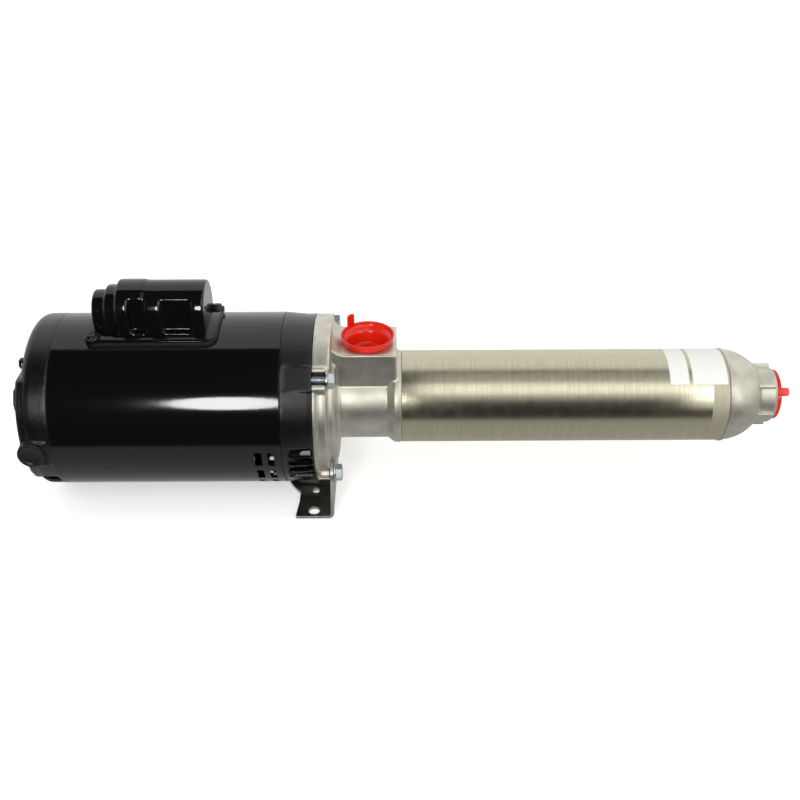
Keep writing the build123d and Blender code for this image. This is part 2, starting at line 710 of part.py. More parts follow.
def motor_adapter():
    """Casting that joins the motor to the pump, with the inlet block on top."""
    spigot_r = tube_bore_r - slip_gap
    flare_r = collar_r - spigot_wall
    body = turned([
        (face_x, register_r + running_gap), (face_x, lip_r), (face_x + lip_thickness, lip_r),
        (face_x + lip_thickness + 1.5, band_r), (leg_x - 1.5, band_r), (leg_x, band_r - 2),
        (leg_x, hub_r + 1), (hub_front_x - 3, hub_r), (hub_front_x, hub_r - 3),
        (hub_front_x, throat_r + 3), (hub_front_x + 3, throat_r), (throat_front_x, throat_r),
        (collar_rear_x, collar_r), (collar_front_x, collar_r), (collar_front_x, spigot_r),
        *seal_groove(collar_front_x + spigot_length / 2),
        (spigot_end_x, spigot_r), (spigot_end_x, spigot_r - spigot_wall),
        (collar_rear_x, spigot_r - spigot_wall), (throat_front_x, throat_r - casting_wall),
        (hub_front_x + 3, throat_r - casting_wall), (hub_front_x + 3, seal_bore_r + 4),
        (hub_front_x, seal_bore_r), (leg_x + 1.5, seal_bore_r), (leg_x + 1.5, coupling_r + 2),
        (leg_x - 1, coupling_r + 2), (leg_x - 1, register_r - 6), (face_x + 4.5, register_r - 6),
        (face_x + 4.5, register_r + running_gap)])
    body += around(adapter_lug(), bolt_angles)
    slot = block(face_x - 1, leg_x + 1, bolt_circle_r, lug_outer_r + 5,
                 -lug_slot_width / 2, lug_slot_width / 2)
    slot += rod(face_x - 1, leg_x + 1, lug_slot_width / 2, 0, bolt_circle_r)
    body -= around(slot, bolt_angles)
    inlet = block(block_rear_x, block_front_x, -block_half_width, block_half_width, 20, block_top)
    inlet = chamfer(inlet.edges().group_by(Axis.Z)[-1] + inlet.edges().filter_by(Axis.Z), block_edge)
    body += inlet - tube(hub_front_x + 1, block_front_x + 1, throat_r - casting_wall)
    body -= Pos(port_x, 0, block_top / 2 + 5) * Cylinder(port_bore_r, block_top - 8)
    return body


def flange_bolt(angle):
    """Hex bolt through the adapter lug into the front bell."""
    seat_x = leg_x + washer_thickness
    if angle > 180:
        seat_x += foot_sheet
    bolt = rod(face_x - bolt_grip_in_bell + 1, seat_x + 1, bolt_r, angle, bolt_circle_r)
    middle = Pos(*polar(bolt_circle_r, angle))
    head = along_x(middle * RegularPolygon(bolt_head_flats / 2, 6, major_radius=False),
                   seat_x, seat_x + bolt_head_height)
    return bolt + head


def flange_washer(angle):
    """Plain washer under a flange bolt."""
    seat_x = leg_x
    if angle > 180:
        seat_x += foot_sheet
    return rod(seat_x, seat_x + washer_thickness, washer_r, angle, bolt_circle_r) - rod(
        seat_x - 1, seat_x + washer_thickness + 1, bolt_r + running_gap, angle, bolt_circle_r)


# ---- Seal and coupling ----

def seal_seat():
    """Fixed ceramic ring of the shaft seal."""
    return tube(leg_x + 1.5, seal_face_x, seal_bore_r - running_gap, coupling_r + air_gap)


def seal_head():
    """Turning carbon ring and spring cup of the shaft seal."""
    bore = coupling_r + running_gap / 2
    start = seal_face_x + 0.3
    return turned([
        (start, bore), (seal_head_end_x, bore), (seal_head_end_x, 17), (start + 6, 17),
        (start + 6, 14.5), (start, 14.5)])


def shaft_coupling():
    """Sleeve that joins the motor shaft to the pump shaft."""
    body = turned([
        (coupling_rear_x, 0), (coupling_front_x, 0), (coupling_front_x, coupling_collar_r),
        (seal_head_end_x, coupling_collar_r), (seal_head_end_x, coupling_r), (coupling_rear_x, coupling_r)])
    body -= tube(coupling_rear_x - 1, motor_shaft_end_x + 0.2, motor_shaft_r + running_gap)
    return body - hex_bar(motor_shaft_end_x, coupling_front_x + 1, shaft_flats + 2 * running_gap)


# ---- Pump ----

def pump_shell():
    """Stainless tube round the stages."""
    return tube(collar_front_x, tube_end_x, tube_r, tube_bore_r)


def suction_plate():
    """First plate of the stack, with the eye of the first impeller."""
    return tube(spigot_end_x, stack_start_x, stack_outer_r, eye_r)


def diffuser(start):
    """Stage bowl: outer ring, partition, return vanes and end plate with the next eye."""
    end = start + stage_pitch
    ring_r = stack_outer_r - bowl_wall
    bowl = tube(start, end, stack_outer_r, ring_r)
    bowl += tube(end - bowl_plate, end, stack_outer_r - 0.5, eye_r)
    bowl += tube(start + bowl_partition, start + bowl_partition + bowl_plate, ring_r - 3,
                 impeller_hub_r + air_gap)
    blade = vane(start + bowl_partition + bowl_plate - 0.5, end - bowl_plate + 0.5,
                 eye_r - 2, ring_r + 0.5, bowl_vane_sweep, vane_thickness)
    return bowl + around(blade, [360 / bowl_vane_count * i for i in range(bowl_vane_count)])


def impeller(start):
    """Shrouded impeller with its hub sleeve."""
    front = start + 2
    back = start + impeller_back
    hub = tube(start - 1, start + stage_pitch - 1, impeller_hub_r)
    wheel = tube(back, back + impeller_shroud, impeller_r, impeller_hub_r - 1)
    wheel += tube(front, front + impeller_shroud, impeller_r, eye_r - 1)
    blade = vane(front + impeller_shroud - 0.5, back + 0.5, eye_r - 2, impeller_r - 0.5,
                 impeller_vane_sweep, vane_thickness)
    wheel += around(blade, [360 / impeller_vane_count * i for i in range(impeller_vane_count)])
    return hub + wheel - hex_bar(start - 2, start + stage_pitch, shaft_flats + 2 * running_gap)


def pump_shaft():
    """Hexagonal shaft with a round end journal."""
    journal_x = stack_end_x + nut_length
    bar = hex_bar(motor_shaft_end_x + 0.5, journal_x, shaft_flats)
    return bar + tube(journal_x - 1, journal_x + spider_hub_length + 2, shaft_flats / 2 - running_gap)


def impeller_nut():
    """Nut that clamps the impellers on the shaft."""
    nut = hex_bar(stack_end_x - 1, stack_end_x - 1 + nut_length, nut_flats)
    return nut - hex_bar(stack_end_x - 2, stack_end_x + nut_length, shaft_flats + 2 * running_gap)


def end_spider():
    """Ring, arms and bushing that carry the end of the pump shaft."""
    arm_x = stack_end_x + nut_length + 1
    spider = tube(stack_end_x, spider_end_x, stack_outer_r, stack_outer_r - spider_ring)
    spider += tube(arm_x, arm_x + spider_hub_length, spider_hub_r)
    arm = block(arm_x, spider_end_x, spider_hub_r - 2, stack_outer_r - spider_ring / 2,
                -spider_arm_width / 2, spider_arm_width / 2)
    spider += around(arm, (0, 90, 180, 270))
    return spider - tube(arm_x - 1, arm_x + spider_hub_length + 1, shaft_flats / 2)


def discharge_head():
    """Domed head with a round neck, wrench ribs and the discharge port."""
    spigot_r = stack_outer_r
    centre = tube_end_x
    rise = math.sqrt(tube_r ** 2 - neck_r ** 2)
    inner_r = tube_r - dome_wall
    inner_rise = math.sqrt(inner_r ** 2 - port_bore_r ** 2)
    outer = ThreePointArc((centre, tube_r), (centre + tube_r * math.sin(0.5), tube_r * math.cos(0.5)),
                          (centre + rise, neck_r))
    inner = ThreePointArc((centre + inner_rise, port_bore_r),
                          (centre + inner_r * math.sin(0.4), inner_r * math.cos(0.4)), (centre, inner_r))
    chamfer_x = neck_end_x - neck_chamfer_length
    path = Polyline((centre + rise, neck_r), (chamfer_x, neck_r), (neck_end_x, neck_end_r),
                    (neck_end_x, port_bore_r), (centre + inner_rise, port_bore_r))
    groove = seal_groove(centre - head_spigot_length / 2)
    back = Polyline((centre, inner_r), (centre - 4, spigot_r - spigot_wall),
                    (spider_end_x, spigot_r - spigot_wall), (spider_end_x, spigot_r), *groove,
                    (centre, spigot_r), (centre, tube_r))
    face = make_face([outer.edge()] + list(path.edges()) + [inner.edge()] + list(back.edges()))
    head = revolve(face, Axis.X, 360)
    rib = block(centre + rise - neck_rib_width, chamfer_x, neck_r - 2, neck_r + neck_rib_height,
                -neck_rib_width / 2, neck_rib_width / 2)
    ribs = around(rib, [neck_rib_start + 360 / neck_rib_count * i for i in range(neck_rib_count)])
    ridge = tube(centre, centre + dome_ridge_width, tube_r + dome_ridge, tube_r - 2)
    return head + ribs + ridge


# ---- Plugs ----

def plug(rim_r, rim_height, tab_height):
    """Tapered hollow plug standing on its port face, mouth up, with a pull tab."""
    port_r = port_bore_r - 0.4
    cup = make_face(Polyline(
        (0, -plug_depth), (plug_tip_r, -plug_depth), (port_r, 0), (rim_r - 1.5, 0), (rim_r, rim_height),
        (rim_r - plug_wall, rim_height), (port_r - plug_wall, plug_wall),
        (plug_tip_r - plug_wall, plug_wall - plug_depth), (0, plug_wall - plug_depth), close=True))
    body = revolve(Plane.XZ * cup, Axis.Z, 360)
    tab = block(rim_r - tab_thickness, rim_r, -tab_width / 2, tab_width / 2,
                rim_height - 3, rim_height + tab_height)
    tab = fillet(tab.edges().filter_by(Axis.X).group_by(Axis.Z)[-1], 2.5)
    return body + tab


def inlet_plug():
    """Plug in the inlet port on top of the adapter."""
    return Pos(port_x, 0, block_top) * Rot(0, 0, inlet_tab_angle) * plug(
        plug_rim_r, plug_rim_height, inlet_tab_height)


def outlet_plug():
    """Plug in the discharge port."""
    return Pos(neck_end_x, 0, 0) * Rot(outlet_tab_angle + 90, 0, 0) * Rot(0, 90, 0) * plug(
        outlet_plug_rim_r, outlet_plug_rim_height, outlet_tab_height)


pieces = {
    "foot_bracket": foot_bracket(),
    "motor_shell": motor_shell(),
    "front_end_bell": front_end_bell(),
    "rear_end_bell": rear_end_bell(),
    "terminal_cover": terminal_cover(),
    "terminal_cover_screws": terminal_screws(),
    "conduit_plug": conduit_plug(),
    "capacitor_cover": capacitor_cover(),
    "capacitor_gasket": capacitor_gasket(),
    "capacitor": capacitor(),
    "stator_core": stator_core(),
    "stator_windings": stator_windings(),
    "switch_board": switch_board(),
    "front_bearing_outer_ring": bearing_outer(front_bearing_x),
    "rear_bearing_outer_ring": bearing_outer(rear_bearing_x),
    "front_bearing_inner_ring": bearing_inner(front_bearing_x),
    "rear_bearing_inner_ring": bearing_inner(rear_bearing_x),
    "motor_shaft": motor_shaft(),
    "rotor_core": rotor_core(),
    "rotor_cage": rotor_cage(),
    "cooling_fan": cooling_fan(),
    "switch_actuator": switch_actuator(),
    "water_slinger": water_slinger(),
    "motor_adapter": motor_adapter(),
    "seal_seat": seal_seat(),
    "seal_head": seal_head(),
    "shaft_coupling": shaft_coupling(),
    "pump_shell": pump_shell(),
    "suction_plate": suction_plate(),
    "pump_shaft": pump_shaft(),
    "impeller_nut": impeller_nut(),
    "end_spider": end_spider(),
    "discharge_head": discharge_head(),
    "adapter_seal_ring": seal_ring(collar_front_x + spigot_length / 2),
    "head_seal_ring": seal_ring(tube_end_x - head_spigot_length / 2),
    "inlet_plug": inlet_plug(),
    "outlet_plug": outlet_plug(),
}
for number, (screw_x, screw_angle) in enumerate(cap_screws, 1):
    pieces[f"capacitor_cover_screw_{number}"] = cap_screw(screw_x, screw_angle)
for number, angle in enumerate(bolt_angles, 1):
    pieces[f"flange_bolt_{number}"] = flange_bolt(angle)
pieces["flange_washers"] = Part() + [flange_washer(angle) for angle in bolt_angles]
pieces["through_bolts"] = Part() + [through_bolt(angle) for angle in through_bolt_angles]
for number in range(stage_count):
    stage_x = stack_start_x + number * stage_pitch
    pieces[f"diffuser_{number + 1}"] = diffuser(stage_x)
    pieces[f"impeller_{number + 1}"] = impeller(stage_x)

os.makedirs("parts", exist_ok=True)
for name, piece in pieces.items():
    export_step(Pos(0, 0, shaft_height) * piece, f"parts/{name}.step")
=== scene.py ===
import json
import math

import bmesh
import bpy
from bpy.props import FloatProperty, FloatVectorProperty, IntProperty, PointerProperty
from mathutils import Matrix, Vector


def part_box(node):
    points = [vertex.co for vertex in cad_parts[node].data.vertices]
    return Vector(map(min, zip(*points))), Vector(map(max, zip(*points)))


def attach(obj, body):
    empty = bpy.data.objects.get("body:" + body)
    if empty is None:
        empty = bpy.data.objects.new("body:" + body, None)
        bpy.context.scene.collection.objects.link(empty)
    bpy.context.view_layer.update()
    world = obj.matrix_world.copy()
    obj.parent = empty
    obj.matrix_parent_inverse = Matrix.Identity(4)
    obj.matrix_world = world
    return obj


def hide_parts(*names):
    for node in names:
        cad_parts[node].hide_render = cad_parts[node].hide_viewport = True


bl_info = {
    "name": "Multistage booster pump",
    "version": (1, 0, 0),
    "blender": (4, 5, 0),
    "location": "3D View > Sidebar > Pump",
    "description": "Dresses a close-coupled multistage booster pump and sets its studio",
    "category": "Object",
}

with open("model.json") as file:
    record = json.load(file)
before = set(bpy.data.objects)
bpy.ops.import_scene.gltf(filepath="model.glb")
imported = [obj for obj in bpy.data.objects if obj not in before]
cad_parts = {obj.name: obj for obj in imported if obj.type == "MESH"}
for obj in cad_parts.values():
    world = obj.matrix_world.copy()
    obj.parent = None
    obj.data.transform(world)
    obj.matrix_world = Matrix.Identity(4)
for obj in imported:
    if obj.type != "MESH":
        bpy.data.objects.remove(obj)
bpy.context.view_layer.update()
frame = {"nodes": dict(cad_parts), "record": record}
MM = 0.001
SHAFT_Z = next(j["pos_m"][2] for j in frame["record"]["behaviour"]["joints"] if j["name"] == "rotor_spin")


# ---- Measures ----

def span(node):
    """Lowest and highest corner of a CAD node in millimetres from the shaft line."""
    return [(corner - Vector((0, 0, SHAFT_Z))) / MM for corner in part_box(node)]


def mount(name):
    """Place of one of the frame's mounts in millimetres from the shaft line."""
    place = next(m["pos_m"] for m in frame["record"]["mounts"] if m["name"] == name)
    return (Vector(place) - Vector((0, 0, SHAFT_Z))) / MM


def linear(code):
    """Linear colour of an sRGB hex code."""
    parts = [int(code[i:i + 2], 16) / 255 for i in (1, 3, 5)]
    return [c / 12.92 if c <= 0.04045 else ((c + 0.055) / 1.055) ** 2.4 for c in parts]


def every(size_mm):
    """Texture scale whose features are about a size in millimetres."""
    return 1 / (size_mm * MM)


def bands_every(size_mm):
    """Wave texture scale whose bands are a size in millimetres apart."""
    return every(size_mm * 20 / (2 * math.pi))


# ---- Shapes, drawn in millimetres about the shaft line ----

SAME_PLACE = 0.001  # corners nearer to each other than this are one


def bevel(bm, geom, width, segments, affect="VERTICES", **more):
    """Rounds corners or edges."""
    bmesh.ops.bevel(bm, geom=geom, offset=width, offset_type="OFFSET", segments=segments, profile=0.5,
                    affect=affect, material=-1, **more)


def draw_line(bm, points, closed=False):
    """Line through (x, y, z) points, where a fourth number rounds that corner."""
    verts = [bm.verts.new(point[:3]) for point in points]
    for pair in zip(verts, verts[1:]):
        bm.edges.new(pair)
    if closed:
        bm.edges.new((verts[-1], verts[0]))
    for vert, point in zip(verts, points):
        if len(point) > 3:
            bevel(bm, [vert], point[3], 5)


def spin(bm, angle, steps, **more):
    """Sweeps what is drawn about the shaft line, by an angle in degrees."""
    bmesh.ops.spin(bm, geom=bm.verts[:] + bm.edges[:], cent=(0, 0, 0), axis=(1, 0, 0),
                   angle=math.radians(angle), steps=steps, **more)


def spin_round(bm, steps):
    """Sweeps what is drawn right round the shaft line."""
    spin(bm, 360, steps, use_merge=True)
    bmesh.ops.remove_doubles(bm, verts=bm.verts, dist=SAME_PLACE)
    bmesh.ops.recalc_face_normals(bm, faces=bm.faces)
    return bm


def lathe(points, steps=96, closed=True):
    """Shape turned about the shaft line from (x, radius) points, where a third number rounds a corner."""
    bm = bmesh.new()
    draw_line(bm, [(x, radius, 0, *rounding) for x, radius, *rounding in points], closed)
    return spin_round(bm, steps)


def box(low, high):
    """Block between two corners."""
    bm = bmesh.new()
    bmesh.ops.create_cube(bm, size=1)
    low, high = Vector(low), Vector(high)
    bmesh.ops.scale(bm, vec=high - low, verts=bm.verts)
    return move(bm, *(low + high) / 2)


def push(bm, distance):
    """Extrudes the flat faces of a drawing into a closed solid."""
    moved = bmesh.ops.extrude_face_region(bm, geom=bm.faces[:], use_keep_orig=True)["geom"]
    bmesh.ops.translate(bm, vec=distance, verts=[v for v in moved if isinstance(v, bmesh.types.BMVert)])
    bmesh.ops.recalc_face_normals(bm, faces=bm.faces)
    return bm


def prism(outline, distance):
    """Solid pushed from a closed outline of (x, y, z) points, where a fourth number rounds a corner."""
    bm = bmesh.new()
    draw_line(bm, outline, True)
    bmesh.ops.contextual_create(bm, geom=bm.edges[:])
    return push(bm, distance)


def hexagon(x, corner_r, height):
    """Six-sided bar that stands along the shaft line."""
    bm = bmesh.new()
    bmesh.ops.create_circle(bm, cap_ends=True, segments=6, radius=corner_r)
    return push(move(turn(bm, 90, "Y"), x, 0, 0), (height, 0, 0))


def turn(bm, angle, axis="X"):
    """Turns a shape about an axis through the origin, in degrees."""
    bmesh.ops.rotate(bm, cent=(0, 0, 0), matrix=Matrix.Rotation(math.radians(angle), 3, axis),
                     verts=bm.verts)
    return bm


def move(bm, x, y, z):
    """Moves a shape."""
    bmesh.ops.translate(bm, vec=(x, y, z), verts=bm.verts)
    return bm


def add(bm, other):
    """Puts another shape into this one as it is."""
    mesh = bpy.data.meshes.new("part")
    other.to_mesh(mesh)
    other.free()
    bm.from_mesh(mesh)
    bpy.data.meshes.remove(mesh)
    return bm


def make_object(bm, name="part"):
    """Object that takes a shape over."""
    mesh = bpy.data.meshes.new(name)
    bm.to_mesh(mesh)
    bm.free()
    made = bpy.data.objects.new(name, mesh)
    bpy.context.scene.collection.objects.link(made)
    return made


def take_shape(made):
    """Shape of an object as its modifiers leave it."""
    graph = bpy.context.evaluated_depsgraph_get()
    mesh = bpy.data.meshes.new_from_object(made.evaluated_get(graph))
    bm = bmesh.new()
    bm.from_mesh(mesh)
    bpy.data.meshes.remove(mesh)
    return bm


def combine(bm, other, operation="DIFFERENCE"):
    """Cuts, joins or keeps the overlap of two closed shapes."""
    first, second = make_object(bm), make_object(other)
    modifier = first.modifiers.new("combine", "BOOLEAN")
    modifier.operation = operation
    modifier.solver = "EXACT"
    modifier.object = second
    made = take_shape(first)
    for used in (first, second):
        bpy.data.meshes.remove(used.data)
    return made


def soften(bm, width, segments=3, sharper=28):
    """Rounds the edges that turn by more than an angle."""
    edges = [e for e in bm.edges
             if len(e.link_faces) == 2 and e.calc_face_angle(0) > math.radians(sharper)]
    bevel(bm, edges, width, segments, "EDGES", clamp_overlap=True)
    return bm


def melt(bm, grid, rounds, kept=lambda place: False):
    """Solid redrawn on an even grid and smoothed but where it is kept, so that its edges run soft."""
    pattern = make_object(bm)
    remesh = pattern.modifiers.new("grid", "REMESH")
    remesh.mode = "VOXEL"
    remesh.voxel_size = grid
    made = take_shape(pattern)
    bpy.data.meshes.remove(pattern.data)
    soft = [v for v in made.verts if not kept(v.co)]
    for _ in range(rounds):
        bmesh.ops.smooth_vert(made, verts=soft, factor=0.5, use_axis_x=True, use_axis_y=True,
                              use_axis_z=True)
    return made


def finish_piece(name, bm, slot, nodes=(), sharp=32, finish=None, body="casing"):
    """Makes a piece of a shape, gives it its slot's finish or another, and lets it ride on its body."""
    bmesh.ops.scale(bm, vec=(MM, MM, MM), verts=bm.verts)
    piece = make_object(move(bm, 0, 0, SHAFT_Z), name)
    piece.data.shade_smooth()
    piece.data.set_sharp_from_angle(angle=math.radians(sharp))
    piece.data.materials.append(bpy.data.materials[finish or SLOT_FINISHES[slot]])
    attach(piece, body)
    if nodes:
        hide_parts(*nodes)


# ---- Finishes ----

WHITE = (1.0, 1.0, 1.0, 1.0)


def add_node(tree, kind, settings=(), inputs=(), stops=()):
    """Adds a node with its settings, its inputs as values or as links, and a ramp's (place, colour) stops."""
    node = tree.nodes.new(kind)
    for name, value in dict(settings).items():
        setattr(node, name, value)
    for name, value in dict(inputs).items():
        if isinstance(value, bpy.types.NodeSocket):
            tree.links.new(value, node.inputs[name])
        else:
            node.inputs[name].default_value = value
    if stops:
        made = node.color_ramp.elements
        made[0].position, made[1].position = stops[0][0], stops[-1][0]
        for place, _ in stops[1:-1]:
            made.new(place)
        for stop, (_, colour) in zip(made, stops):
            stop.color = rgba(colour)
    return node


def rgba(colour):
    """Colour with full alpha."""
    return (*colour, 1.0)


def scaled(colour, factor):
    """Colour made lighter or darker."""
    return [min(1.0, c * factor) for c in colour]


def start_finish(name):
    """Empty material and its Object coordinates."""
    material = bpy.data.materials.new(name)
    material.use_nodes = True
    material.node_tree.nodes.clear()
    place = add_node(material.node_tree, "ShaderNodeTexCoord").outputs["Object"]
    return material.node_tree, place


def close_finish(tree, inputs, height, depth_mm, edge_mm=0.0):
    """Joins the shader, a bump of a real depth and a rounding of the edges."""
    links = {"Height": height, "Distance": depth_mm * MM, "Strength": 1.0}
    if edge_mm:
        rounding = add_node(tree, "ShaderNodeBevel", {"samples": 4}, {"Radius": edge_mm * MM})
        links["Normal"] = rounding.outputs[0]
    bump = add_node(tree, "ShaderNodeBump", {}, links)
    shader = add_node(tree, "ShaderNodeBsdfPrincipled", {}, {**inputs, "Normal": bump.outputs[0]})
    add_node(tree, "ShaderNodeOutputMaterial", {}, {"Surface": shader.outputs[0]})


def gloss_enamel(settings):
    """Baked enamel on rolled steel: nearly black, with mirror reflections that a faint orange peel bends."""
    tree, place = start_finish("Baked gloss enamel")
    peel = add_node(tree, "ShaderNodeTexNoise", {}, {"Vector": place, "Scale": every(5), "Detail": 1.0})
    cloud = add_node(tree, "ShaderNodeTexNoise", {}, {"Vector": place, "Scale": every(30)})
    rough = add_node(tree, "ShaderNodeMapRange", {}, {
        "Value": cloud.outputs["Fac"], "To Min": settings.enamel_roughness * 0.8,
        "To Max": settings.enamel_roughness * 1.3})
    close_finish(tree, {"Base Color": rgba(settings.enamel_colour), "Roughness": rough.outputs[0],
                        "IOR": 1.52}, peel.outputs["Fac"], 0.012, 0.5)


def cast_enamel(settings):
    """Enamel over a sand cast end bell: black, with a fine grain that breaks the light into sparkles."""
    tree, place = start_finish("Enamelled casting")
    grain = add_node(tree, "ShaderNodeTexNoise", {}, {
        "Vector": place, "Scale": every(settings.bell_grain / MM), "Detail": 3.0, "Roughness": 0.6})
    cloud = add_node(tree, "ShaderNodeTexNoise", {}, {"Vector": place, "Scale": every(12), "Detail": 2.0})
    shades = add_node(tree, "ShaderNodeValToRGB", {}, {"Fac": cloud.outputs["Fac"]}, (
        (0.35, scaled(settings.bell_colour, 0.8)), (0.7, scaled(settings.bell_colour, 1.5))))
    close_finish(tree, {"Base Color": shades.outputs["Color"], "Roughness": 0.2, "IOR": 1.5},
                 grain.outputs["Fac"], 0.2)


def wrinkle_enamel(settings):
    """Thick enamel that has run into wrinkles round the screw ears."""
    tree, place = start_finish("Wrinkled enamel")
    wrinkle = add_node(tree, "ShaderNodeTexVoronoi", {}, {"Vector": place, "Scale": every(2.2)})
    close_finish(tree, {"Base Color": rgba(settings.enamel_colour), "Roughness": 0.22, "IOR": 1.5},
                 wrinkle.outputs["Distance"], 0.7, 0.6)


def cast_stainless(settings):
    """Investment cast stainless, tumbled: satin warm grey with a fine sand grain and brighter edges."""
    tree, place = start_finish("Investment cast stainless")
    grain = add_node(tree, "ShaderNodeTexNoise", {}, {
        "Vector": place, "Scale": every(settings.sand_grain / MM), "Detail": 3.0,
        "Roughness": 0.65}).outputs["Fac"]
    cloud = add_node(tree, "ShaderNodeTexNoise", {}, {"Vector": place, "Scale": every(14), "Detail": 3.0})
    shades = add_node(tree, "ShaderNodeValToRGB", {}, {"Fac": cloud.outputs["Fac"]}, (
        (0.3, scaled(settings.casting_colour, 0.86)), (0.7, scaled(settings.casting_colour, 1.1))))
    rough = add_node(tree, "ShaderNodeMapRange", {}, {
        "Value": grain, "To Min": settings.casting_roughness - 0.08,
        "To Max": settings.casting_roughness + 0.1})
    close_finish(tree, {"Base Color": shades.outputs["Color"], "Metallic": 1.0,
                        "Roughness": rough.outputs[0]}, grain, 0.09, 0.7)


def brushed_tube(settings):
    """Brushed stainless tube: fine lines run round it, so highlights draw out into stripes along it."""
    tree, place = start_finish("Brushed stainless tube")
    stretch = add_node(tree, "ShaderNodeMapping", {}, {"Vector": place, "Scale": (1.0, 0.02, 0.02)})
    lines = add_node(tree, "ShaderNodeTexNoise", {}, {
        "Vector": stretch.outputs[0], "Scale": every(settings.brush_spacing / MM), "Detail": 3.0})
    smudge = add_node(tree, "ShaderNodeTexNoise", {}, {"Vector": place, "Scale": every(9), "Detail": 3.0})
    shades = add_node(tree, "ShaderNodeValToRGB", {}, {"Fac": lines.outputs["Fac"]}, (
        (0.3, scaled(settings.tube_colour, 0.9)), (0.7, scaled(settings.tube_colour, 1.06))))
    rough = add_node(tree, "ShaderNodeMapRange", {}, {
        "Value": smudge.outputs["Fac"], "To Min": settings.tube_roughness - 0.05,
        "To Max": settings.tube_roughness + 0.06})
    along = add_node(tree, "ShaderNodeSeparateXYZ", {}, {"Vector": place}).outputs["X"]
    dull = add_node(tree, "ShaderNodeMapRange", {}, {
        "Value": along, "From Min": settings.satin_from, "From Max": settings.satin_from + 0.001,
        "To Min": 0.0, "To Max": 0.28})
    rough = add_node(tree, "ShaderNodeMath", {"operation": "ADD"}, {0: rough.outputs[0], 1: dull.outputs[0]})
    facing = add_node(tree, "ShaderNodeNewGeometry").outputs["Normal"]
    around = add_node(tree, "ShaderNodeVectorMath", {"operation": "CROSS_PRODUCT"}, {
        0: (1, 0, 0), 1: facing})
    close_finish(tree, {"Base Color": shades.outputs["Color"], "Metallic": 1.0,
                        "Roughness": rough.outputs[0], "Anisotropic": 0.8, "Tangent": around.outputs[0]},
                 lines.outputs["Fac"], 0.006)


def mill_sheet(settings):
    """Stainless sheet as rolled: dull grey metal with long faint rolling lines."""
    tree, place = start_finish("Rolled stainless sheet")
    stretch = add_node(tree, "ShaderNodeMapping", {}, {"Vector": place, "Scale": (1.0, 0.03, 1.0)})
    lines = add_node(tree, "ShaderNodeTexNoise", {}, {
        "Vector": stretch.outputs[0], "Scale": every(0.7), "Detail": 2.0})
    cloud = add_node(tree, "ShaderNodeTexNoise", {}, {"Vector": place, "Scale": every(10), "Detail": 2.0})
    rough = add_node(tree, "ShaderNodeMapRange", {}, {
        "Value": cloud.outputs["Fac"], "To Min": 0.24, "To Max": 0.38})
    close_finish(tree, {"Base Color": rgba(settings.sheet_colour), "Metallic": 1.0,
                        "Roughness": rough.outputs[0]}, lines.outputs["Fac"], 0.01, 0.6)


def zinc_plate(settings):
    """Bright zinc plating: light bluish metal with faint spangles."""
    tree, place = start_finish("Zinc plated steel")
    spangle = add_node(tree, "ShaderNodeTexVoronoi", {}, {"Vector": place, "Scale": every(1.8)})
    shades = add_node(tree, "ShaderNodeValToRGB", {}, {"Fac": spangle.outputs["Distance"]}, (
        (0.1, scaled(settings.zinc_colour, 0.85)), (0.6, settings.zinc_colour)))
    grit = add_node(tree, "ShaderNodeTexNoise", {}, {"Vector": place, "Scale": every(0.6)})
    close_finish(tree, {"Base Color": shades.outputs["Color"], "Metallic": 1.0, "Roughness": 0.26},
                 grit.outputs["Fac"], 0.02, 0.3)


def plug_polyethylene(settings):
    """Soft moulded polyethylene: strong red that light enters a little, with a waxy shine."""
    tree, place = start_finish("Moulded polyethylene")
    wax = add_node(tree, "ShaderNodeTexNoise", {}, {"Vector": place, "Scale": every(4), "Detail": 2.0})
    rough = add_node(tree, "ShaderNodeMapRange", {}, {
        "Value": wax.outputs["Fac"], "To Min": 0.16, "To Max": 0.3})
    close_finish(tree, {"Base Color": rgba(settings.plug_colour), "Roughness": rough.outputs[0],
                        "IOR": 1.5, "Subsurface Weight": 0.12, "Subsurface Scale": 0.002,
                        "Subsurface Radius": (1.0, 0.2, 0.1)},
                 wax.outputs["Fac"], 0.02, 0.4)


def banded_metal(name, direction, spacing_mm, codes, inputs, depth_mm, **more):
    """Metal in even bands between the colours of a ramp."""
    tree, place = start_finish(name)
    bands = add_node(tree, "ShaderNodeTexWave", {"bands_direction": direction}, {
        "Vector": place, "Scale": bands_every(spacing_mm), **more}).outputs["Fac"]
    shades = add_node(tree, "ShaderNodeValToRGB", {}, {"Fac": bands}, [
        (stop, linear(code)) for stop, code in codes.items()])
    close_finish(tree, {**inputs, "Base Color": shades.outputs["Color"]}, bands, depth_mm)


def flecked_skin(name, size_mm, codes, inputs, depth_mm, edge_mm=0.0, stretch=(1.0, 1.0, 1.0), **more):
    """Skin flecked between the colours of a ramp, with flecks that may run long round the shaft line."""
    tree, place = start_finish(name)
    drawn = add_node(tree, "ShaderNodeMapping", {}, {"Vector": place, "Scale": stretch})
    flecks = add_node(tree, "ShaderNodeTexNoise", {}, {
        "Vector": drawn.outputs[0], "Scale": every(size_mm), **more}).outputs["Fac"]
    shades = add_node(tree, "ShaderNodeValToRGB", {}, {"Fac": flecks}, [
        (stop, linear(code)) for stop, code in codes.items()])
    close_finish(tree, {**inputs, "Base Color": shades.outputs["Color"]}, flecks, depth_mm, edge_mm)


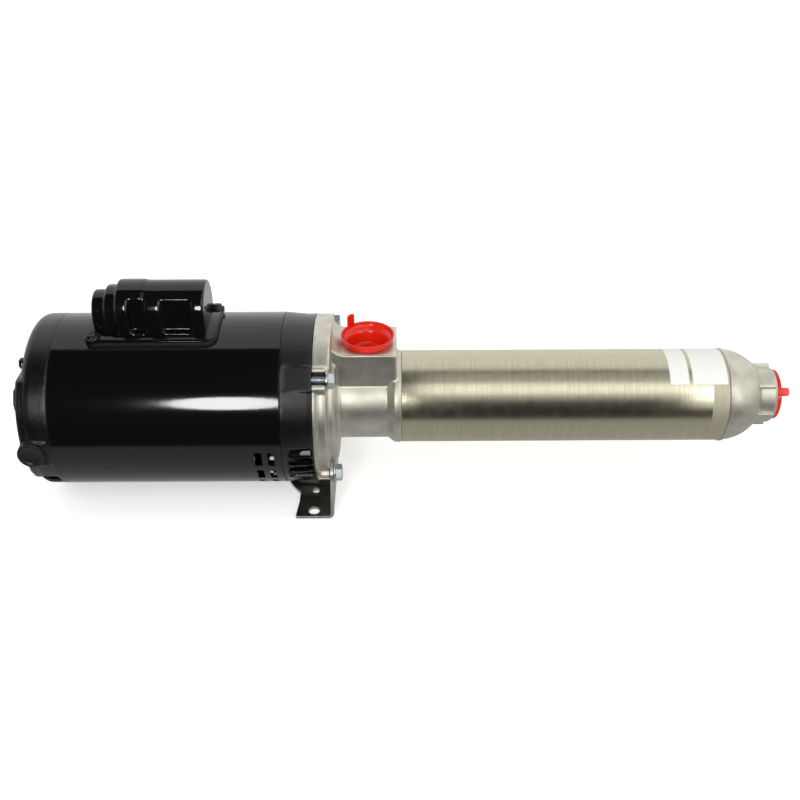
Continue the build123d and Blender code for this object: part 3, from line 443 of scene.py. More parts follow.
def plain_finishes():
    """Finishes of the small and inner pieces."""
    # Rings from the tool, bright and fine.
    flecked_skin("Turned steel", 0.4, {0: "#B9B8B4", 1: "#B9B8B4"}, {"Metallic": 1.0, "Roughness": 0.24},
                 0.01, 0.3, (1.0, 0.02, 0.02))
    # Stacked sheets seen on edge, drawn coarse enough to show.
    banded_metal("Electrical steel laminations", "X", 4.084, {0: "#4A4A4C", 1: "#7C7C7E"},
                 {"Metallic": 0.9, "Roughness": 0.5}, 0.08, Distortion=0.4)
    # Strands of copper colour with painted shade, dark brown, in the hollows between them, drawn coarse
    # enough to show.
    banded_metal("Enamelled copper wire", "DIAGONAL", 6.283, {0: "#3A1608", 1: "#B0602E"},
                 {"Metallic": 0.8, "Roughness": 0.3}, 0.4, Distortion=3.0, Detail=2.0)
    # Pale grey with a chilled skin.
    flecked_skin("Die cast aluminium", 3, {0: "#B4B6B8", 1: "#B4B6B8"}, {"Metallic": 1.0, "Roughness": 0.45},
                 0.1, 0.4, Detail=4.0)
    # Dull black with a slight bloom.
    flecked_skin("Nitrile rubber", 2.5, {0.3: "#0E0E0E", 0.8: "#1C1C1B"}, {"Roughness": 0.42}, 0.05, 0.5,
                 Detail=3.0)
    # Black with a fine moulded grain.
    flecked_skin("Phenolic moulding", 0.8, {0: "#121212", 1: "#121212"}, {"Roughness": 0.35}, 0.04, 0.5,
                 Detail=2.0)
    # Off-white, faintly flecked.
    flecked_skin("Glass filled pump plastic", 1.5, {0.3: "#C9C4B4", 0.7: "#E4E0D2"}, {"Roughness": 0.4},
                 0.03, 0.3, Detail=4.0)
    # White and polished.
    flecked_skin("Seal ceramic", 1.0, {0: "#DCD8CC", 1: "#F0EEE6"}, {"Roughness": 0.15}, 0.005, 0.3)
    # Soft sheen with a few trapped bubbles.
    flecked_skin("White vinyl sticker", 6, {0: "#F1F1EC", 1: "#F1F1EC"}, {"Roughness": 0.32}, 0.02,
                 Detail=1.0)


SLOT_FINISHES = {
    "gloss_black_enamel": "Baked gloss enamel",
    "black_cast_enamel": "Enamelled casting",
    "cast_stainless": "Investment cast stainless",
    "brushed_stainless": "Brushed stainless tube",
    "stainless_sheet": "Rolled stainless sheet",
    "zinc_steel": "Zinc plated steel",
    "machined_steel": "Turned steel",
    "electrical_steel": "Electrical steel laminations",
    "copper_wire": "Enamelled copper wire",
    "cast_aluminium": "Die cast aluminium",
    "black_rubber": "Nitrile rubber",
    "black_plastic": "Phenolic moulding",
    "pump_plastic": "Glass filled pump plastic",
    "red_plastic": "Moulded polyethylene",
    "ceramic": "Seal ceramic",
}


# ---- Sizes and colours ----

class MotorSettings(bpy.types.PropertyGroup):
    enamel_colour: FloatVectorProperty(
        name="Enamel colour", description="Colour of the motor's enamel", subtype="COLOR", size=3,
        min=0, max=1, default=linear("#09090A"))
    enamel_roughness: FloatProperty(
        name="Enamel roughness", description="How far the enamel blurs reflections", default=0.085,
        min=0, max=1, subtype="FACTOR")
    bell_colour: FloatVectorProperty(
        name="Bell colour", description="Colour of the enamel on the cast end bells", subtype="COLOR",
        size=3, min=0, max=1, default=linear("#0E0E0F"))
    bell_grain: FloatProperty(
        name="Bell grain", description="Size of the casting grain under the enamel", default=0.7 * MM,
        min=0, subtype="DISTANCE", unit="LENGTH")
    slot_pitch: FloatProperty(
        name="Slot pitch", description="Angle between the shell's vent slots",
        default=math.radians(17.5), subtype="ANGLE", unit="ROTATION")
    cover_softness: IntProperty(
        name="Cover softness", description="Smoothing rounds of the pressed capacitor cover", default=13,
        min=0)
    panel_depth: FloatProperty(
        name="Panel depth", description="Depth of the flats pressed into the capacitor cover",
        default=6.5 * MM, min=0, subtype="DISTANCE", unit="LENGTH")


class PumpSettings(bpy.types.PropertyGroup):
    casting_colour: FloatVectorProperty(
        name="Casting colour", description="Colour of the cast stainless pieces", subtype="COLOR",
        size=3, min=0, max=1, default=linear("#D2CFC1"))
    casting_roughness: FloatProperty(
        name="Casting roughness", description="How far the castings blur reflections", default=0.42,
        min=0, max=1, subtype="FACTOR")
    sand_grain: FloatProperty(
        name="Sand grain", description="Size of the grain left by the mould", default=0.8 * MM, min=0,
        subtype="DISTANCE", unit="LENGTH")
    tube_colour: FloatVectorProperty(
        name="Tube colour", description="Colour of the brushed tube", subtype="COLOR", size=3,
        min=0, max=1, default=linear("#C8C3AA"))
    tube_roughness: FloatProperty(
        name="Tube roughness", description="How far the brushed tube blurs reflections", default=0.2,
        min=0, max=1, subtype="FACTOR")
    satin_from: FloatProperty(
        name="Satin from", description="Where the dull band at the end of the tube begins",
        default=0.3755, subtype="DISTANCE", unit="LENGTH")
    brush_spacing: FloatProperty(
        name="Brush spacing", description="Distance between the brushing lines, drawn coarse enough to show",
        default=0.9 * MM, min=0, subtype="DISTANCE", unit="LENGTH")
    sheet_colour: FloatVectorProperty(
        name="Sheet colour", description="Colour of the foot's stainless sheet", subtype="COLOR", size=3,
        min=0, max=1, default=linear("#B2B2AB"))
    zinc_colour: FloatVectorProperty(
        name="Zinc colour", description="Colour of the zinc plated fasteners", subtype="COLOR", size=3,
        min=0, max=1, default=linear("#D3DADD"))
    thread_pitch: FloatProperty(
        name="Thread pitch", description="Pitch of the flange bolts' thread", default=25.4 / 16 * MM,
        min=0, subtype="DISTANCE", unit="LENGTH")


class PlugSettings(bpy.types.PropertyGroup):
    plug_colour: FloatVectorProperty(
        name="Plug colour", description="Colour of the shipping plugs", subtype="COLOR", size=3,
        min=0, max=1, default=linear("#DE2310"))
    wall: FloatProperty(
        name="Plug wall", description="Thickness of the plugs' wall", default=1.6 * MM, min=0,
        subtype="DISTANCE", unit="LENGTH")


class StudioSettings(bpy.types.PropertyGroup):
    floor_colour: FloatVectorProperty(
        name="Floor colour", description="Colour of the studio floor", subtype="COLOR", size=3,
        min=0, max=1, default=linear("#F4F4F2"))
    ambient: FloatProperty(
        name="Ambient", description="Even light from all round on dull surfaces", default=0.75, min=0)
    spot_power: FloatProperty(
        name="Spot power", description="Power of the small softbox that draws a streak on the motor",
        default=6.0, min=0, subtype="POWER", unit="POWER")
    overhead_power: FloatProperty(
        name="Overhead power", description="Power of the wide softbox above the pump tube",
        default=3.0, min=0, subtype="POWER", unit="POWER")
    side_power: FloatProperty(
        name="Side power", description="Power of the softbox beside the discharge head",
        default=3.6, min=0, subtype="POWER", unit="POWER")
    flag_reach: FloatProperty(
        name="Flag reach", description="How far over the black flag in front of the pump goes",
        default=math.radians(99), subtype="ANGLE", unit="ROTATION")
    flag_level: FloatProperty(
        name="Flag level", description="Brightness of the black flag in reflections", default=0.03, min=0)
    card_level: FloatProperty(
        name="Card level", description="Brightness of the grey card that the pump tube reflects",
        default=0.45, min=0)
    sweep_edge: FloatProperty(
        name="Sweep edge", description="Where the pale paper under the pump ends in front",
        default=-0.21, subtype="DISTANCE", unit="LENGTH")
    lens: FloatProperty(
        name="Lens", description="Focal length of the camera in millimetres", default=45.5, min=1)


# ---- Operators ----

class PUMP_OT_finishes(bpy.types.Operator):
    """Mixes the finishes and gives each frame node the finish of its slot"""
    bl_idname = "pump.finishes"
    bl_label = "Finishes"

    def execute(self, context):
        motor, pump = context.scene.pump_motor, context.scene.pump_wet_end
        for mix in (gloss_enamel, cast_enamel, wrinkle_enamel):
            mix(motor)
        for mix in (cast_stainless, brushed_tube, mill_sheet, zinc_plate):
            mix(pump)
        plain_finishes()
        plug_polyethylene(context.scene.pump_plugs)
        for part in frame["record"]["subparts"]:
            node = frame["nodes"][part["node"]]
            finish = bpy.data.materials[SLOT_FINISHES[part["material_slot"]]]
            if not node.material_slots:
                node.data.materials.append(finish)
            for slot in node.material_slots:
                slot.material = finish
        return {"FINISHED"}


class PUMP_OT_motor_shell(bpy.types.Operator):
    """Rolls the motor's shell and opens its two columns of vent slots"""
    bl_idname = "pump.motor_shell"
    bl_label = "Motor shell"

    def execute(self, context):
        low, high = span("motor_shell")
        pitch = math.degrees(context.scene.pump_motor.slot_pitch)
        lowest, rows_each_side, half_slot, sheet, rim = 270, 5, 6.25, 2.0, 6
        columns = ((high.x - 25.1, high.x - 18.2), (high.x - 13.0, high.x - 7.0))
        stations = (low.x, low.x + rim, *columns[0], *columns[1], high.x)
        bm = lathe([(x, high.y) for x in stations], 288, False)
        openings = []
        for face in bm.faces:
            middle = face.calc_center_median()
            row = (math.degrees(math.atan2(middle.z, middle.y)) % 360 - lowest) / pitch
            in_slot = abs(row) < rows_each_side and abs(row % 1 - 0.5) * pitch < half_slot
            if in_slot and any(x0 < middle.x < x1 for x0, x1 in columns):
                openings.append(face)
        bmesh.ops.delete(bm, geom=openings, context="FACES")
        bmesh.ops.solidify(bm, geom=bm.faces[:], thickness=sheet)
        finish_piece("motor_shell_rolled", bm, "gloss_black_enamel", ["motor_shell"])
        return {"FINISHED"}


class PUMP_OT_capacitor_cover(bpy.types.Operator):
    """Presses the capacitor cover with its lobes and flats, its saddle flange and its gasket"""
    bl_idname = "pump.capacitor_cover"
    bl_label = "Capacitor cover"

    # Lobes from the rear: where each begins and ends, half its width, and how far its top lies down.
    LOBES = ((0, 14, 18.5, 8.6), (12.6, 26, 22.0, 4.0), (23.5, 47.9, 25.6, -1.0), (46.5, 103.3, 25.0, 0.0))
    FLATS = ((35, 50), (64, 92))
    # Runs of enamel round an ear: angle in degrees, distance out and radius.
    BEADS = ((0, 5.2, 1.2), (40, 6.2, 1.6), (80, 5.8, 1.2), (120, 5.4, 1.2), (160, 6.4, 1.6),
             (200, 6.0, 1.2), (240, 5.6, 1.2), (280, 5.2, 1.6), (320, 6.2, 1.2))

    def arch(self, x0, x1, half_width, top, low):
        """Half-round topped block."""
        bm = bmesh.new()
        spring = top - half_width
        crown = bm.verts.new((x0, half_width, spring))
        last = bmesh.ops.spin(bm, geom=[crown], cent=(x0, 0, spring), axis=(1, 0, 0), angle=math.pi,
                              steps=40)["geom_last"][0]
        right = bm.verts.new((x0, half_width, low))
        left = bm.verts.new((x0, -half_width, low))
        for pair in ((right, crown), (last, left), (left, right)):
            bm.edges.new(pair)
        bmesh.ops.contextual_create(bm, geom=bm.edges[:])
        return push(bm, (x1 - x0, 0, 0))

    def saddle(self, grow, corner, inner_r, outer_r):
        """Plate over the flange's rounded outline, bent to the motor."""
        low, high = span("capacitor_gasket")
        x0, x1, y = low.x - grow, high.x + grow, high.y + grow
        bottom, height = 40, 80
        outline = ((x0, -y), (x1, -y), (x1, y), (x0, y))
        plate = prism([(*place, bottom, corner) for place in outline], (0, 0, height))
        ring = lathe([(x0 - 5, inner_r), (x1 + 5, inner_r), (x1 + 5, outer_r), (x0 - 5, outer_r)], 180)
        return combine(plate, ring, "INTERSECT")

    def pressing(self, motor_r, depth, softness):
        """Cover pressed in one piece from its lobes, with flats on both sides."""
        top = span("capacitor_cover")[1].z - 1
        rear = span("capacitor_gasket")[0].x + 7.1
        form = None
        for x0, x1, half_width, drop in self.LOBES:
            lobe = self.arch(rear + x0, rear + x1, half_width, top - drop, motor_r - 14)
            form = lobe if form is None else combine(form, lobe, "UNION")
        for x0, x1 in self.FLATS:
            for side in (-1, 1):
                x2, x3, y, foot = rear + x0, rear + x1, side * (25.0 - depth), motor_r + 3.5
                flat = prism([(x2, y, foot, 3), (x3, y, foot, 3), (x3, y, top + 5), (x2, y, top + 5)],
                             (0, side * 20, 0))
                form = combine(form, flat)
        return melt(form, 0.8, softness)

    def ear(self, screw, seat):
        """Screw ear under runs of enamel."""
        middle = sum(span(screw), Vector()) / 2
        bm = lathe([(seat - 2.5, 0), (seat - 2.5, 7.2), (seat + 2.2, 6.6), (seat + 2.6, 4.8),
                    (seat + 5.0, 4.2), (seat + 5.0, 0)], 40, False)
        for angle, out, radius in self.BEADS:
            bead = bmesh.new()
            bmesh.ops.create_icosphere(bead, subdivisions=2, radius=radius)
            add(bm, turn(move(bead, seat + 1.6, out, 0), angle))
        bm = turn(melt(bm, 0.45, 3), 90, "Z")
        turn(bm, math.degrees(math.atan2(middle.z, middle.y)))
        return move(bm, middle.x, 0, 0)

    def execute(self, context):
        settings = context.scene.pump_motor
        motor_r = span("motor_shell")[1].y
        gasket_top, flange_top = motor_r + 3.6, motor_r + 4.8
        cover = self.pressing(motor_r, settings.panel_depth / MM, settings.cover_softness)
        finish_piece("capacitor_cover_pressing", cover, "gloss_black_enamel", ["capacitor_cover"], 40)
        flange = soften(self.saddle(-1.5, 9.5, gasket_top, flange_top), 0.5, 3, 40)
        finish_piece("capacitor_cover_flange", flange, "gloss_black_enamel", sharp=40)
        for number in (1, 2):
            ear = self.ear(f"capacitor_cover_screw_{number}", flange_top - 0.2)
            finish_piece(f"capacitor_ear_{number}", ear, "gloss_black_enamel", sharp=60,
                         finish="Wrinkled enamel")
        rim = soften(self.saddle(0, 11, motor_r + 0.05, gasket_top), 1.7, 5, 40)
        finish_piece("capacitor_cover_gasket", rim, "black_rubber", ["capacitor_gasket"], 40)
        return {"FINISHED"}


class PUMP_OT_castings(bpy.types.Operator):
    """Casts the adapter and the two end bells, with the soft edges and fillets that a mould leaves"""
    bl_idname = "pump.castings"
    bl_label = "Castings"

    def cast(self, node, grid, kept, more=None):
        """Casting of a node's solid, with more metal run into it."""
        bm = bmesh.new()
        bm.from_mesh(frame["nodes"][node].data)
        bmesh.ops.remove_doubles(bm, verts=bm.verts, dist=0.005 * MM)
        move(bm, 0, 0, -SHAFT_Z)
        bmesh.ops.scale(bm, vec=(1 / MM, 1 / MM, 1 / MM), verts=bm.verts)
        if more is not None:
            add(bm, more)
        return melt(bm, grid, 4, kept)

    def adapter_metal(self, front):
        """Shoulder between the upper bolts, and the web that runs from it into the inlet block."""
        shoulder_r, shoulder_x, inner, half_web = 79.6, 19.9, 45, 27.4
        shoulder = lathe([(front + 1.5, inner), (front + 1.5, shoulder_r), (shoulder_x, shoulder_r, 2),
                          (shoulder_x, inner)], 144)
        between_bolts = turn(box((front, 8, 8), (30, 90, 90)), 45)
        metal = combine(shoulder, between_bolts, "INTERSECT")
        side = ((10, 50), (10, 76), (17, 74, 3), (24.5, 64.2, 5), (31, 62.6), (31, 50))
        web = prism([(x, -half_web, *rest) for x, *rest in side], (0, 2 * half_web, 0))
        bound = lathe([(5, 0), (5, shoulder_r - 0.2), (40, shoulder_r - 0.2), (40, 0)], 144, False)
        return add(metal, combine(web, bound, "INTERSECT"))

    def bolt_paint(self, rear):
        """Painted hexagon heads of the through bolts."""
        paint = bmesh.new()
        for angle in (60, 120, 240, 300):
            cap = soften(hexagon(0, 5.4, 3.6), 0.5)
            add(paint, turn(move(cap, rear - 0.15, 71.0, 0), angle))
        return paint

    def execute(self, context):
        front = span("motor_adapter")[0].x
        port_x = mount("inlet_port").x
        bore_r, port_r = 41.2, 21.5
        adapter = self.cast("motor_adapter", 1.05, lambda p: (
            p.x < front + 1.5 or math.hypot(p.y, p.z) < bore_r
            or (p.z > 0 and math.hypot(p.x - port_x, p.y) < port_r)), self.adapter_metal(front))
        finish_piece("motor_adapter_casting", adapter, "cast_stainless", ["motor_adapter"], 60)
        for node, inner in (("front_end_bell", 70.0), ("rear_end_bell", 55.0)):
            bell = self.cast(node, 1.25, lambda p: math.hypot(p.y, p.z) < inner)
            finish_piece(f"{node}_casting", bell, "black_cast_enamel", [node], 60)
        finish_piece("through_bolt_paint", self.bolt_paint(span("through_bolts")[0].x),
                     "gloss_black_enamel")
        return {"FINISHED"}


class PUMP_OT_pump_tube(bpy.types.Operator):
    """Turns the brushed tube and lays the two blank stickers on it"""
    bl_idname = "pump.pump_tube"
    bl_label = "Pump tube"

    STICKERS = ((336.0, 353.5), (357.0, 389.6))  # where each begins and ends along the tube

    def execute(self, context):
        low, high = span("pump_shell")
        outer, wall = high.y, 2
        tube = lathe([(low.x, outer - wall, 0.3), (high.x, outer - wall, 0.3), (high.x, outer, 0.4),
                      (low.x, outer, 0.4)], 256)
        finish_piece("pump_shell_tube", tube, "brushed_stainless", ["pump_shell"])
        for number, (x0, x1) in enumerate(self.STICKERS, 1):
            bm = bmesh.new()
            draw_line(bm, [(x0, outer + 0.02, 0), (x1, outer + 0.02, 0)])
            spin(turn(bm, 50), 84.5, 60)
            bmesh.ops.recalc_face_normals(bm, faces=bm.faces)
            bevel(bm, [v for v in bm.verts if len(v.link_edges) == 2], 1.0, 4)
            bmesh.ops.solidify(bm, geom=bm.faces[:], thickness=-0.1)
            finish_piece(f"blank_sticker_{number}", bm, "brushed_stainless",
                         finish="White vinyl sticker")
        return {"FINISHED"}


class PUMP_OT_flange_bolts(bpy.types.Operator):
    """Forges the flange bolts with their rolled threads, and their washers"""
    bl_idname = "pump.flange_bolts"
    bl_label = "Flange bolts"

    def hex_head(self, seat, flats, height):
        """Hexagon head with a chamfered top."""
        corner, top = flats / math.sqrt(3), seat + height
        blank = lathe([(seat - 1, 0), (seat - 1, corner + 1), (top - 1.3, corner + 1),
                       (top - 0.1, flats / 2 - 0.4, 0.4), (top - 0.1, 0)], 48, False)
        return combine(hexagon(seat, corner, height), blank, "INTERSECT")

    def thread(self, x0, x1, radius, pitch):
        """Core and rolled thread."""
        bm = lathe([(x0, 0), (x0, radius - 1.0, 0.4), (x1, radius - 1.0), (x1, 0)], 32, False)
        ridge = bmesh.new()
        root, crest = radius - 1.2, radius - 0.03
        draw_line(ridge, [(x0, root, 0), (x0 + pitch * 0.42, crest, 0), (x0 + pitch * 0.58, crest, 0),
                          (x0 + pitch, root, 0)])
        turns = int((x1 - x0) / pitch) - 1
        steps = turns * 28
        spin(ridge, 360 * turns, steps, dvec=(pitch * turns / steps, 0, 0))
        bmesh.ops.recalc_face_normals(ridge, faces=ridge.faces)
        return add(bm, ridge)

    def execute(self, context):
        pitch = context.scene.pump_wet_end.thread_pitch / MM
        bolt_r, face_r, washer_inner, washer_outer, washer_thickness = 4.76, 6.9, 4.9, 9.5, 1.75
        washers = bmesh.new()
        for number in range(1, 5):
            low, high = span(f"flange_bolt_{number}")
            y, z = (low.y + high.y) / 2, (low.z + high.z) / 2
            seat = high.x - 6.4
            bolt = self.hex_head(seat + 0.3, 14.3, 6.1)
            add(bolt, lathe([(seat, 0), (seat, face_r, 0.2), (seat + 0.4, face_r), (seat + 0.4, 0)], 48,
                            False))
            add(bolt, self.thread(low.x, seat + 0.5, bolt_r, pitch))
            move(turn(bolt, 12 + 17 * number), 0, y, z)
            finish_piece(f"flange_bolt_{number}_threaded", bolt, "zinc_steel", [f"flange_bolt_{number}"], 30)
            back, top = seat - washer_thickness, seat - 0.03
            washer = lathe([(back, washer_inner, 0.2), (top, washer_inner, 0.2), (top, washer_outer, 0.5),
                            (back, washer_outer, 0.5)], 48)
            add(washers, move(washer, 0, y, z))
        finish_piece("flange_washers_pressed", washers, "zinc_steel", ["flange_washers"])
        return {"FINISHED"}


class PUMP_OT_discharge_head(bpy.types.Operator):
    """Casts the domed discharge head with its ridge, neck and wrench ribs"""
    bl_idname = "pump.discharge_head"
    bl_label = "Discharge head"

    def execute(self, context):
        low, high = span("discharge_head")
        tube_end = span("pump_shell")[1]
        ridge_x, dome_r = tube_end.x, tube_end.y
        neck_r, port_r, end = 27.2, 20.0, high.x
        ridge_end, ridge_r, spigot_r = ridge_x + 3.0, dome_r + 0.9, 42.2
        rise = math.sqrt(dome_r ** 2 - neck_r ** 2)
        dome_start_r = math.sqrt(dome_r ** 2 - 9)
        bm = bmesh.new()
        crown = bm.verts.new((ridge_end, dome_start_r, 0))
        sweep = math.acos(3.0 / dome_r) - math.acos(rise / dome_r)
        bmesh.ops.spin(bm, geom=[crown], cent=(ridge_x, 0, 0), axis=(0, 0, -1), angle=sweep, steps=16)
        points = [(ridge_x + rise, neck_r), (end - 3.2, neck_r, 1.2), (end, 24.8, 0.6), (end, port_r, 0.8),
                  (ridge_x + 34, port_r, 4), (ridge_x, 40.4, 3), (low.x, 38.4, 0.5), (low.x, spigot_r, 0.3),
                  (ridge_x, spigot_r), (ridge_x, ridge_r, 0.8), (ridge_end, ridge_r, 0.9),
                  (ridge_end, dome_start_r)]
        draw_line(bm, [(x, r, 0, *rounding) for x, r, *rounding in points])
        bmesh.ops.remove_doubles(bm, verts=bm.verts, dist=0.01)
        spin_round(bm, 144)
        rib_height, half_rib = 3.2, 2.3
        for number in range(6):
            rib = box((ridge_x + rise - 6, neck_r - 2, -half_rib), (end - 3.4, neck_r + rib_height, half_rib))
            add(bm, turn(soften(rib, 0.9), 11 + 60 * number))
        finish_piece("discharge_head_casting", bm, "cast_stainless", ["discharge_head"], 40)
        return {"FINISHED"}


class PUMP_OT_shipping_plugs(bpy.types.Operator):
    """Moulds the two shipping plugs with their pull tabs"""
    bl_idname = "pump.shipping_plugs"
    bl_label = "Shipping plugs"

    def cup(self, wall, rim_r, rim_height, tab_height, tab_turn):
        """Tapered cup standing on its port along the shaft line, mouth outwards."""
        port_r, tip_r, depth = 19.55, 17.6, 14.0
        half_tab, tab_thickness = 4, 1.8
        bm = lathe([(-depth, 0), (-depth, tip_r, 1.2), (0, port_r, 0.3), (0.02, rim_r - 1.5, 0.5),
                    (rim_height, rim_r, 0.6), (rim_height, rim_r - wall, 0.6), (2.6, rim_r - wall - 0.8, 2.0),
                    (0.4, port_r - 1.0, 3.0), (wall - depth, tip_r - wall, 2.0), (wall - depth, 0)], 96,
                   False)
        foot, tip = rim_height - 3, rim_height + tab_height
        tab = prism([(foot, -half_tab, 0), (foot, half_tab, 0), (tip, half_tab, 0, 2.5),
                     (tip, -half_tab, 0, 2.5)], (0, 0, tab_thickness))
        soften(tab, 0.5, 3, 50)
        move(tab, 0, 0, rim_r - tab_thickness - 0.02)
        return add(bm, turn(tab, tab_turn))

    def execute(self, context):
        wall = context.scene.pump_plugs.wall / MM
        port = mount("inlet_port")
        inlet = turn(self.cup(wall, 25.2, 6.7, 11.0, -48), -90, "Y")
        finish_piece("inlet_plug_moulding", move(inlet, port.x, 0, port.z), "red_plastic", ["inlet_plug"],
                     40, body="inlet_plug_body")
        outlet = move(self.cup(wall, 24.2, 3.6, 7.0, 52), span("discharge_head")[1].x, 0, 0)
        finish_piece("outlet_plug_moulding", outlet, "red_plastic", ["outlet_plug"], 40,
                     body="outlet_plug_body")
        return {"FINISHED"}


class PUMP_OT_conduit_plug(bpy.types.Operator):
    """Moulds the dished plug of the conduit hole"""
    bl_idname = "pump.conduit_plug"
    bl_label = "Conduit plug"

    def execute(self, context):
        low, high = span("conduit_plug")
        radius, half_rim = (high.x - low.x) / 2, 0.6
        bm = lathe([(-8, 0), (-8, radius - 2, 0.4), (-half_rim, radius - 2), (-half_rim, radius, 0.3),
                    (half_rim, radius - 0.4, 0.5), (half_rim, radius - 3.0, 0.5),
                    (-0.5, radius - 4.2, 0.6), (-1.2, 4, 2.0), (-1.0, 0)], 64, False)
        turn(bm, -90, "Z")
        move(bm, (low.x + high.x) / 2, low.y + half_rim, (low.z + high.z) / 2)
        finish_piece("conduit_plug_dished", bm, "black_plastic", ["conduit_plug"])
        return {"FINISHED"}


class PUMP_OT_studio(bpy.types.Operator):
    """Lays the pale floor, hangs the soft lights and sets the camera"""
    bl_idname = "pump.studio"
    bl_label = "Studio"

    # Places in metres, and angles in degrees.
    CAMERA = Vector((0.0833, -0.820, 0.637))
    LOOKED_AT = Vector((0.0833, -0.0023, 0.0855))
    CAMERA_ROLL = -0.3
    LAMP_REACH = 1.5
    HALF_FLOOR = 4.0
    FLOOR_LIFT = 0.42

    def lamp(self, name, x, elevation, width, height, power, shape="RECTANGLE"):
        """Soft light in front of and above a point on the shaft line."""
        light = bpy.data.lights.new(name, "AREA")
        light.shape = shape
        light.size, light.size_y, light.energy = width, height, power
        lamp = bpy.data.objects.new(name, light)
        bpy.context.scene.collection.objects.link(lamp)
        middle = Vector((x, 0, self.LOOKED_AT.z))
        rise = math.radians(elevation)
        lamp.location = middle + self.LAMP_REACH * Vector((0, -math.cos(rise), math.sin(rise)))
        lamp.rotation_euler = (middle - lamp.location).to_track_quat("-Z", "Y").to_euler()
        lamp.visible_camera = False

    def stage_piece(self, name, bm, finish, surface, only_reflected=True):
        """Piece of the studio with its own surface, which may show in reflections alone."""
        piece = make_object(bm, name)
        material = bpy.data.materials[finish]
        add_node(material.node_tree, "ShaderNodeOutputMaterial", {}, {"Surface": surface.outputs[0]})
        piece.data.materials.append(material)
        if only_reflected:
            piece.visible_camera = piece.visible_diffuse = piece.visible_shadow = False

    def lay_floor(self, settings):
        """White floor that takes the pump's shadow and is lifted to white where the camera sees it."""
        floor = bmesh.new()
        bmesh.ops.create_grid(floor, x_segments=4, y_segments=4, size=self.HALF_FLOOR)
        tree = start_finish("Painted studio floor")[0]
        path = add_node(tree, "ShaderNodeLightPath").outputs
        paint = add_node(tree, "ShaderNodeBsdfDiffuse", {}, {"Color": rgba(settings.floor_colour)})
        lift = add_node(tree, "ShaderNodeMath", {"operation": "MULTIPLY"}, {
            0: path["Is Camera Ray"], 1: self.FLOOR_LIFT})
        glow = add_node(tree, "ShaderNodeEmission", {}, {"Color": WHITE, "Strength": lift.outputs[0]})
        both = add_node(tree, "ShaderNodeAddShader", {}, {0: paint.outputs[0], 1: glow.outputs[0]})
        self.stage_piece("studio_floor", floor, "Painted studio floor", both, False)

    def lay_sweep(self, settings):
        """Glowing paper that the pump's underside reflects: dark in front of its edge, grey near the pump
        with a painted shadow of the pump, and paler to the back.
        """
        above_floor = 0.0003
        sweep = bmesh.new()
        bmesh.ops.create_grid(sweep, x_segments=1, y_segments=1, size=self.HALF_FLOOR)
        tree, place = start_finish("Paper sweep")
        away = add_node(tree, "ShaderNodeSeparateXYZ", {}, {"Vector": place}).outputs["Y"]
        share = add_node(tree, "ShaderNodeMapRange", {}, {"Value": away, "From Min": -1.0, "From Max": 1.0})
        edge = (settings.sweep_edge + 1) / 2
        # Glow levels of the paper: dark beyond its edge, then a painted shadow of the pump in grey over the
        # paper near it, then pale paper further back.
        paper_and_painted_shadow = ((edge - 0.008, 0.02), (edge + 0.006, 0.42), (0.53, 0.48), (0.66, 0.85))
        ramp = add_node(tree, "ShaderNodeValToRGB", {}, {"Fac": share.outputs[0]}, [
            (place, (level, level, level)) for place, level in paper_and_painted_shadow])
        glow = add_node(tree, "ShaderNodeEmission", {}, {"Color": ramp.outputs[0], "Strength": 1.0})
        self.stage_piece("paper_sweep", move(sweep, 0, 0, above_floor), "Paper sweep", glow)

    def bend_card(self, name, finish, radius, x0, x1, low, high, level):
        """Card bent round the shaft line in front of the pump, between two heights in degrees."""
        card = bmesh.new()
        draw_line(card, [(x0, -radius, 0), (x1, -radius, 0)])
        spin(turn(card, -low), low - high, 48)
        tree = start_finish(finish)[0]
        glow = add_node(tree, "ShaderNodeEmission", {}, {"Color": WHITE, "Strength": level})
        self.stage_piece(name, move(card, 0, 0, self.LOOKED_AT.z), finish, glow)

    def light_world(self, settings):
        """World that is white to the eye and in reflections, and gives dull surfaces even light."""
        world = bpy.data.worlds.new("White studio")
        bpy.context.scene.world = world
        world.use_nodes = True
        tree = world.node_tree
        tree.nodes.clear()
        path = add_node(tree, "ShaderNodeLightPath").outputs
        seen = path["Is Camera Ray"]
        for ray in ("Is Glossy Ray", "Is Transmission Ray"):
            seen = add_node(tree, "ShaderNodeMath", {"operation": "MAXIMUM"}, {
                0: seen, 1: path[ray]}).outputs[0]
        even, white = (add_node(tree, "ShaderNodeBackground", {}, {"Color": WHITE, "Strength": strength})
                       for strength in (settings.ambient, 1.0))
        both = add_node(tree, "ShaderNodeMixShader", {}, {
            0: seen, 1: even.outputs[0], 2: white.outputs[0]})
        add_node(tree, "ShaderNodeOutputWorld", {}, {"Surface": both.outputs[0]})

    def set_camera(self, scene, lens):
        """Camera on the middle of the pump."""
        camera = bpy.data.cameras.new("camera")
        camera.sensor_width = 36
        camera.lens = lens
        stand = bpy.data.objects.new("camera", camera)
        scene.collection.objects.link(stand)
        stand.location = self.CAMERA
        aim = (self.LOOKED_AT - stand.location).to_track_quat("-Z", "Y").to_matrix()
        roll = Matrix.Rotation(math.radians(self.CAMERA_ROLL), 3, "Z")
        stand.rotation_euler = (aim @ roll).to_euler()
        scene.camera = stand

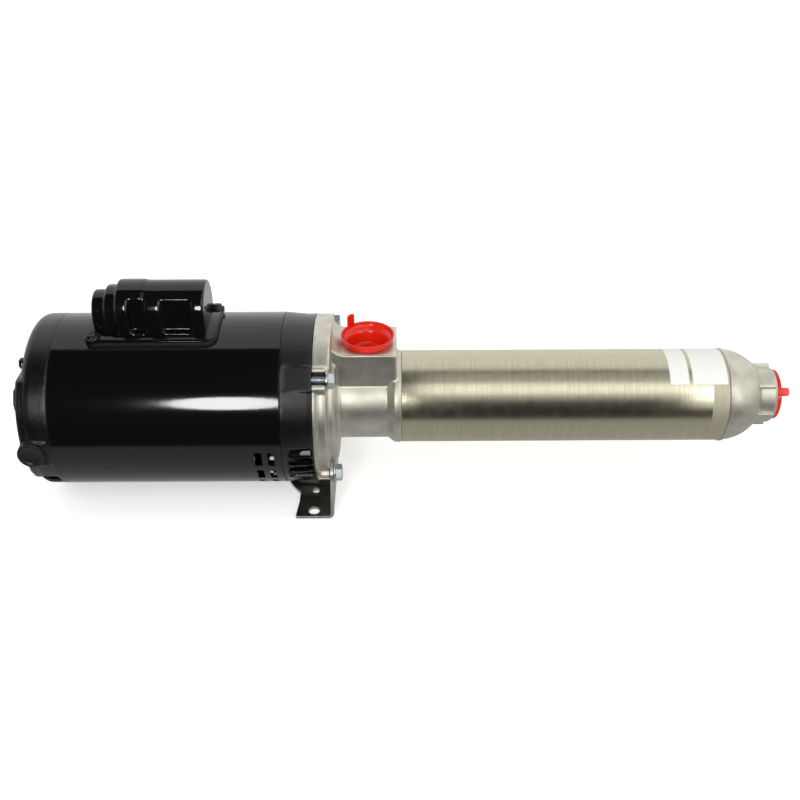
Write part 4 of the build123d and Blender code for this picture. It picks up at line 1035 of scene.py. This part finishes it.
    def execute(self, context):
        scene, settings = context.scene, context.scene.pump_studio
        self.lay_floor(settings)
        self.lay_sweep(settings)
        self.bend_card("black_flag", "Black flag cloth", 2.3, -4.0, 1.3, -4,
                       math.degrees(settings.flag_reach), settings.flag_level)
        self.bend_card("grey_card", "Grey card", 2.25, -0.15, 1.3, 22, 90, settings.card_level)
        self.light_world(settings)
        self.lamp("spot_softbox", -0.315, 25.2, 0.28, 0.42, settings.spot_power, "ELLIPSE")
        self.lamp("overhead_softbox", 0.45, 49, 1.1, 0.7, settings.overhead_power)
        self.lamp("side_softbox", 1.25, 35, 0.5, 0.9, settings.side_power)
        self.set_camera(scene, settings.lens)
        scene.view_settings.view_transform = "Standard"
        return {"FINISHED"}


class PUMP_PT_sidebar(bpy.types.Panel):
    """Sizes, colours and steps of the pump"""
    bl_idname = "PUMP_PT_sidebar"
    bl_label = "Booster pump"
    bl_space_type = "VIEW_3D"
    bl_region_type = "UI"
    bl_category = "Pump"

    def draw(self, context):
        for place in GROUPS:
            group = getattr(context.scene, place)
            column = self.layout.column(align=True)
            for name in group.bl_rna.properties.keys():
                if name not in ("rna_type", "name"):
                    column.prop(group, name)
        for step in STEPS:
            self.layout.operator(step.bl_idname)


GROUPS = {"pump_motor": MotorSettings, "pump_wet_end": PumpSettings, "pump_plugs": PlugSettings,
          "pump_studio": StudioSettings}
STEPS = (PUMP_OT_studio, PUMP_OT_finishes, PUMP_OT_motor_shell, PUMP_OT_capacitor_cover, PUMP_OT_castings,
         PUMP_OT_pump_tube, PUMP_OT_flange_bolts, PUMP_OT_discharge_head, PUMP_OT_shipping_plugs,
         PUMP_OT_conduit_plug)


def register():
    """Registers the settings, the steps and the panel."""
    for cls in (*GROUPS.values(), *STEPS, PUMP_PT_sidebar):
        bpy.utils.register_class(cls)
    for place, group in GROUPS.items():
        setattr(bpy.types.Scene, place, PointerProperty(type=group))


def unregister():
    """Removes the settings, the steps and the panel."""
    for place in GROUPS:
        delattr(bpy.types.Scene, place)
    for cls in (PUMP_PT_sidebar, *STEPS, *GROUPS.values()):
        bpy.utils.unregister_class(cls)


def main():
    """Runs every step in order."""
    register()
    for step in STEPS:
        group, name = step.bl_idname.split(".")
        getattr(getattr(bpy.ops, group), name)()


if __name__ == "__main__":
    main()
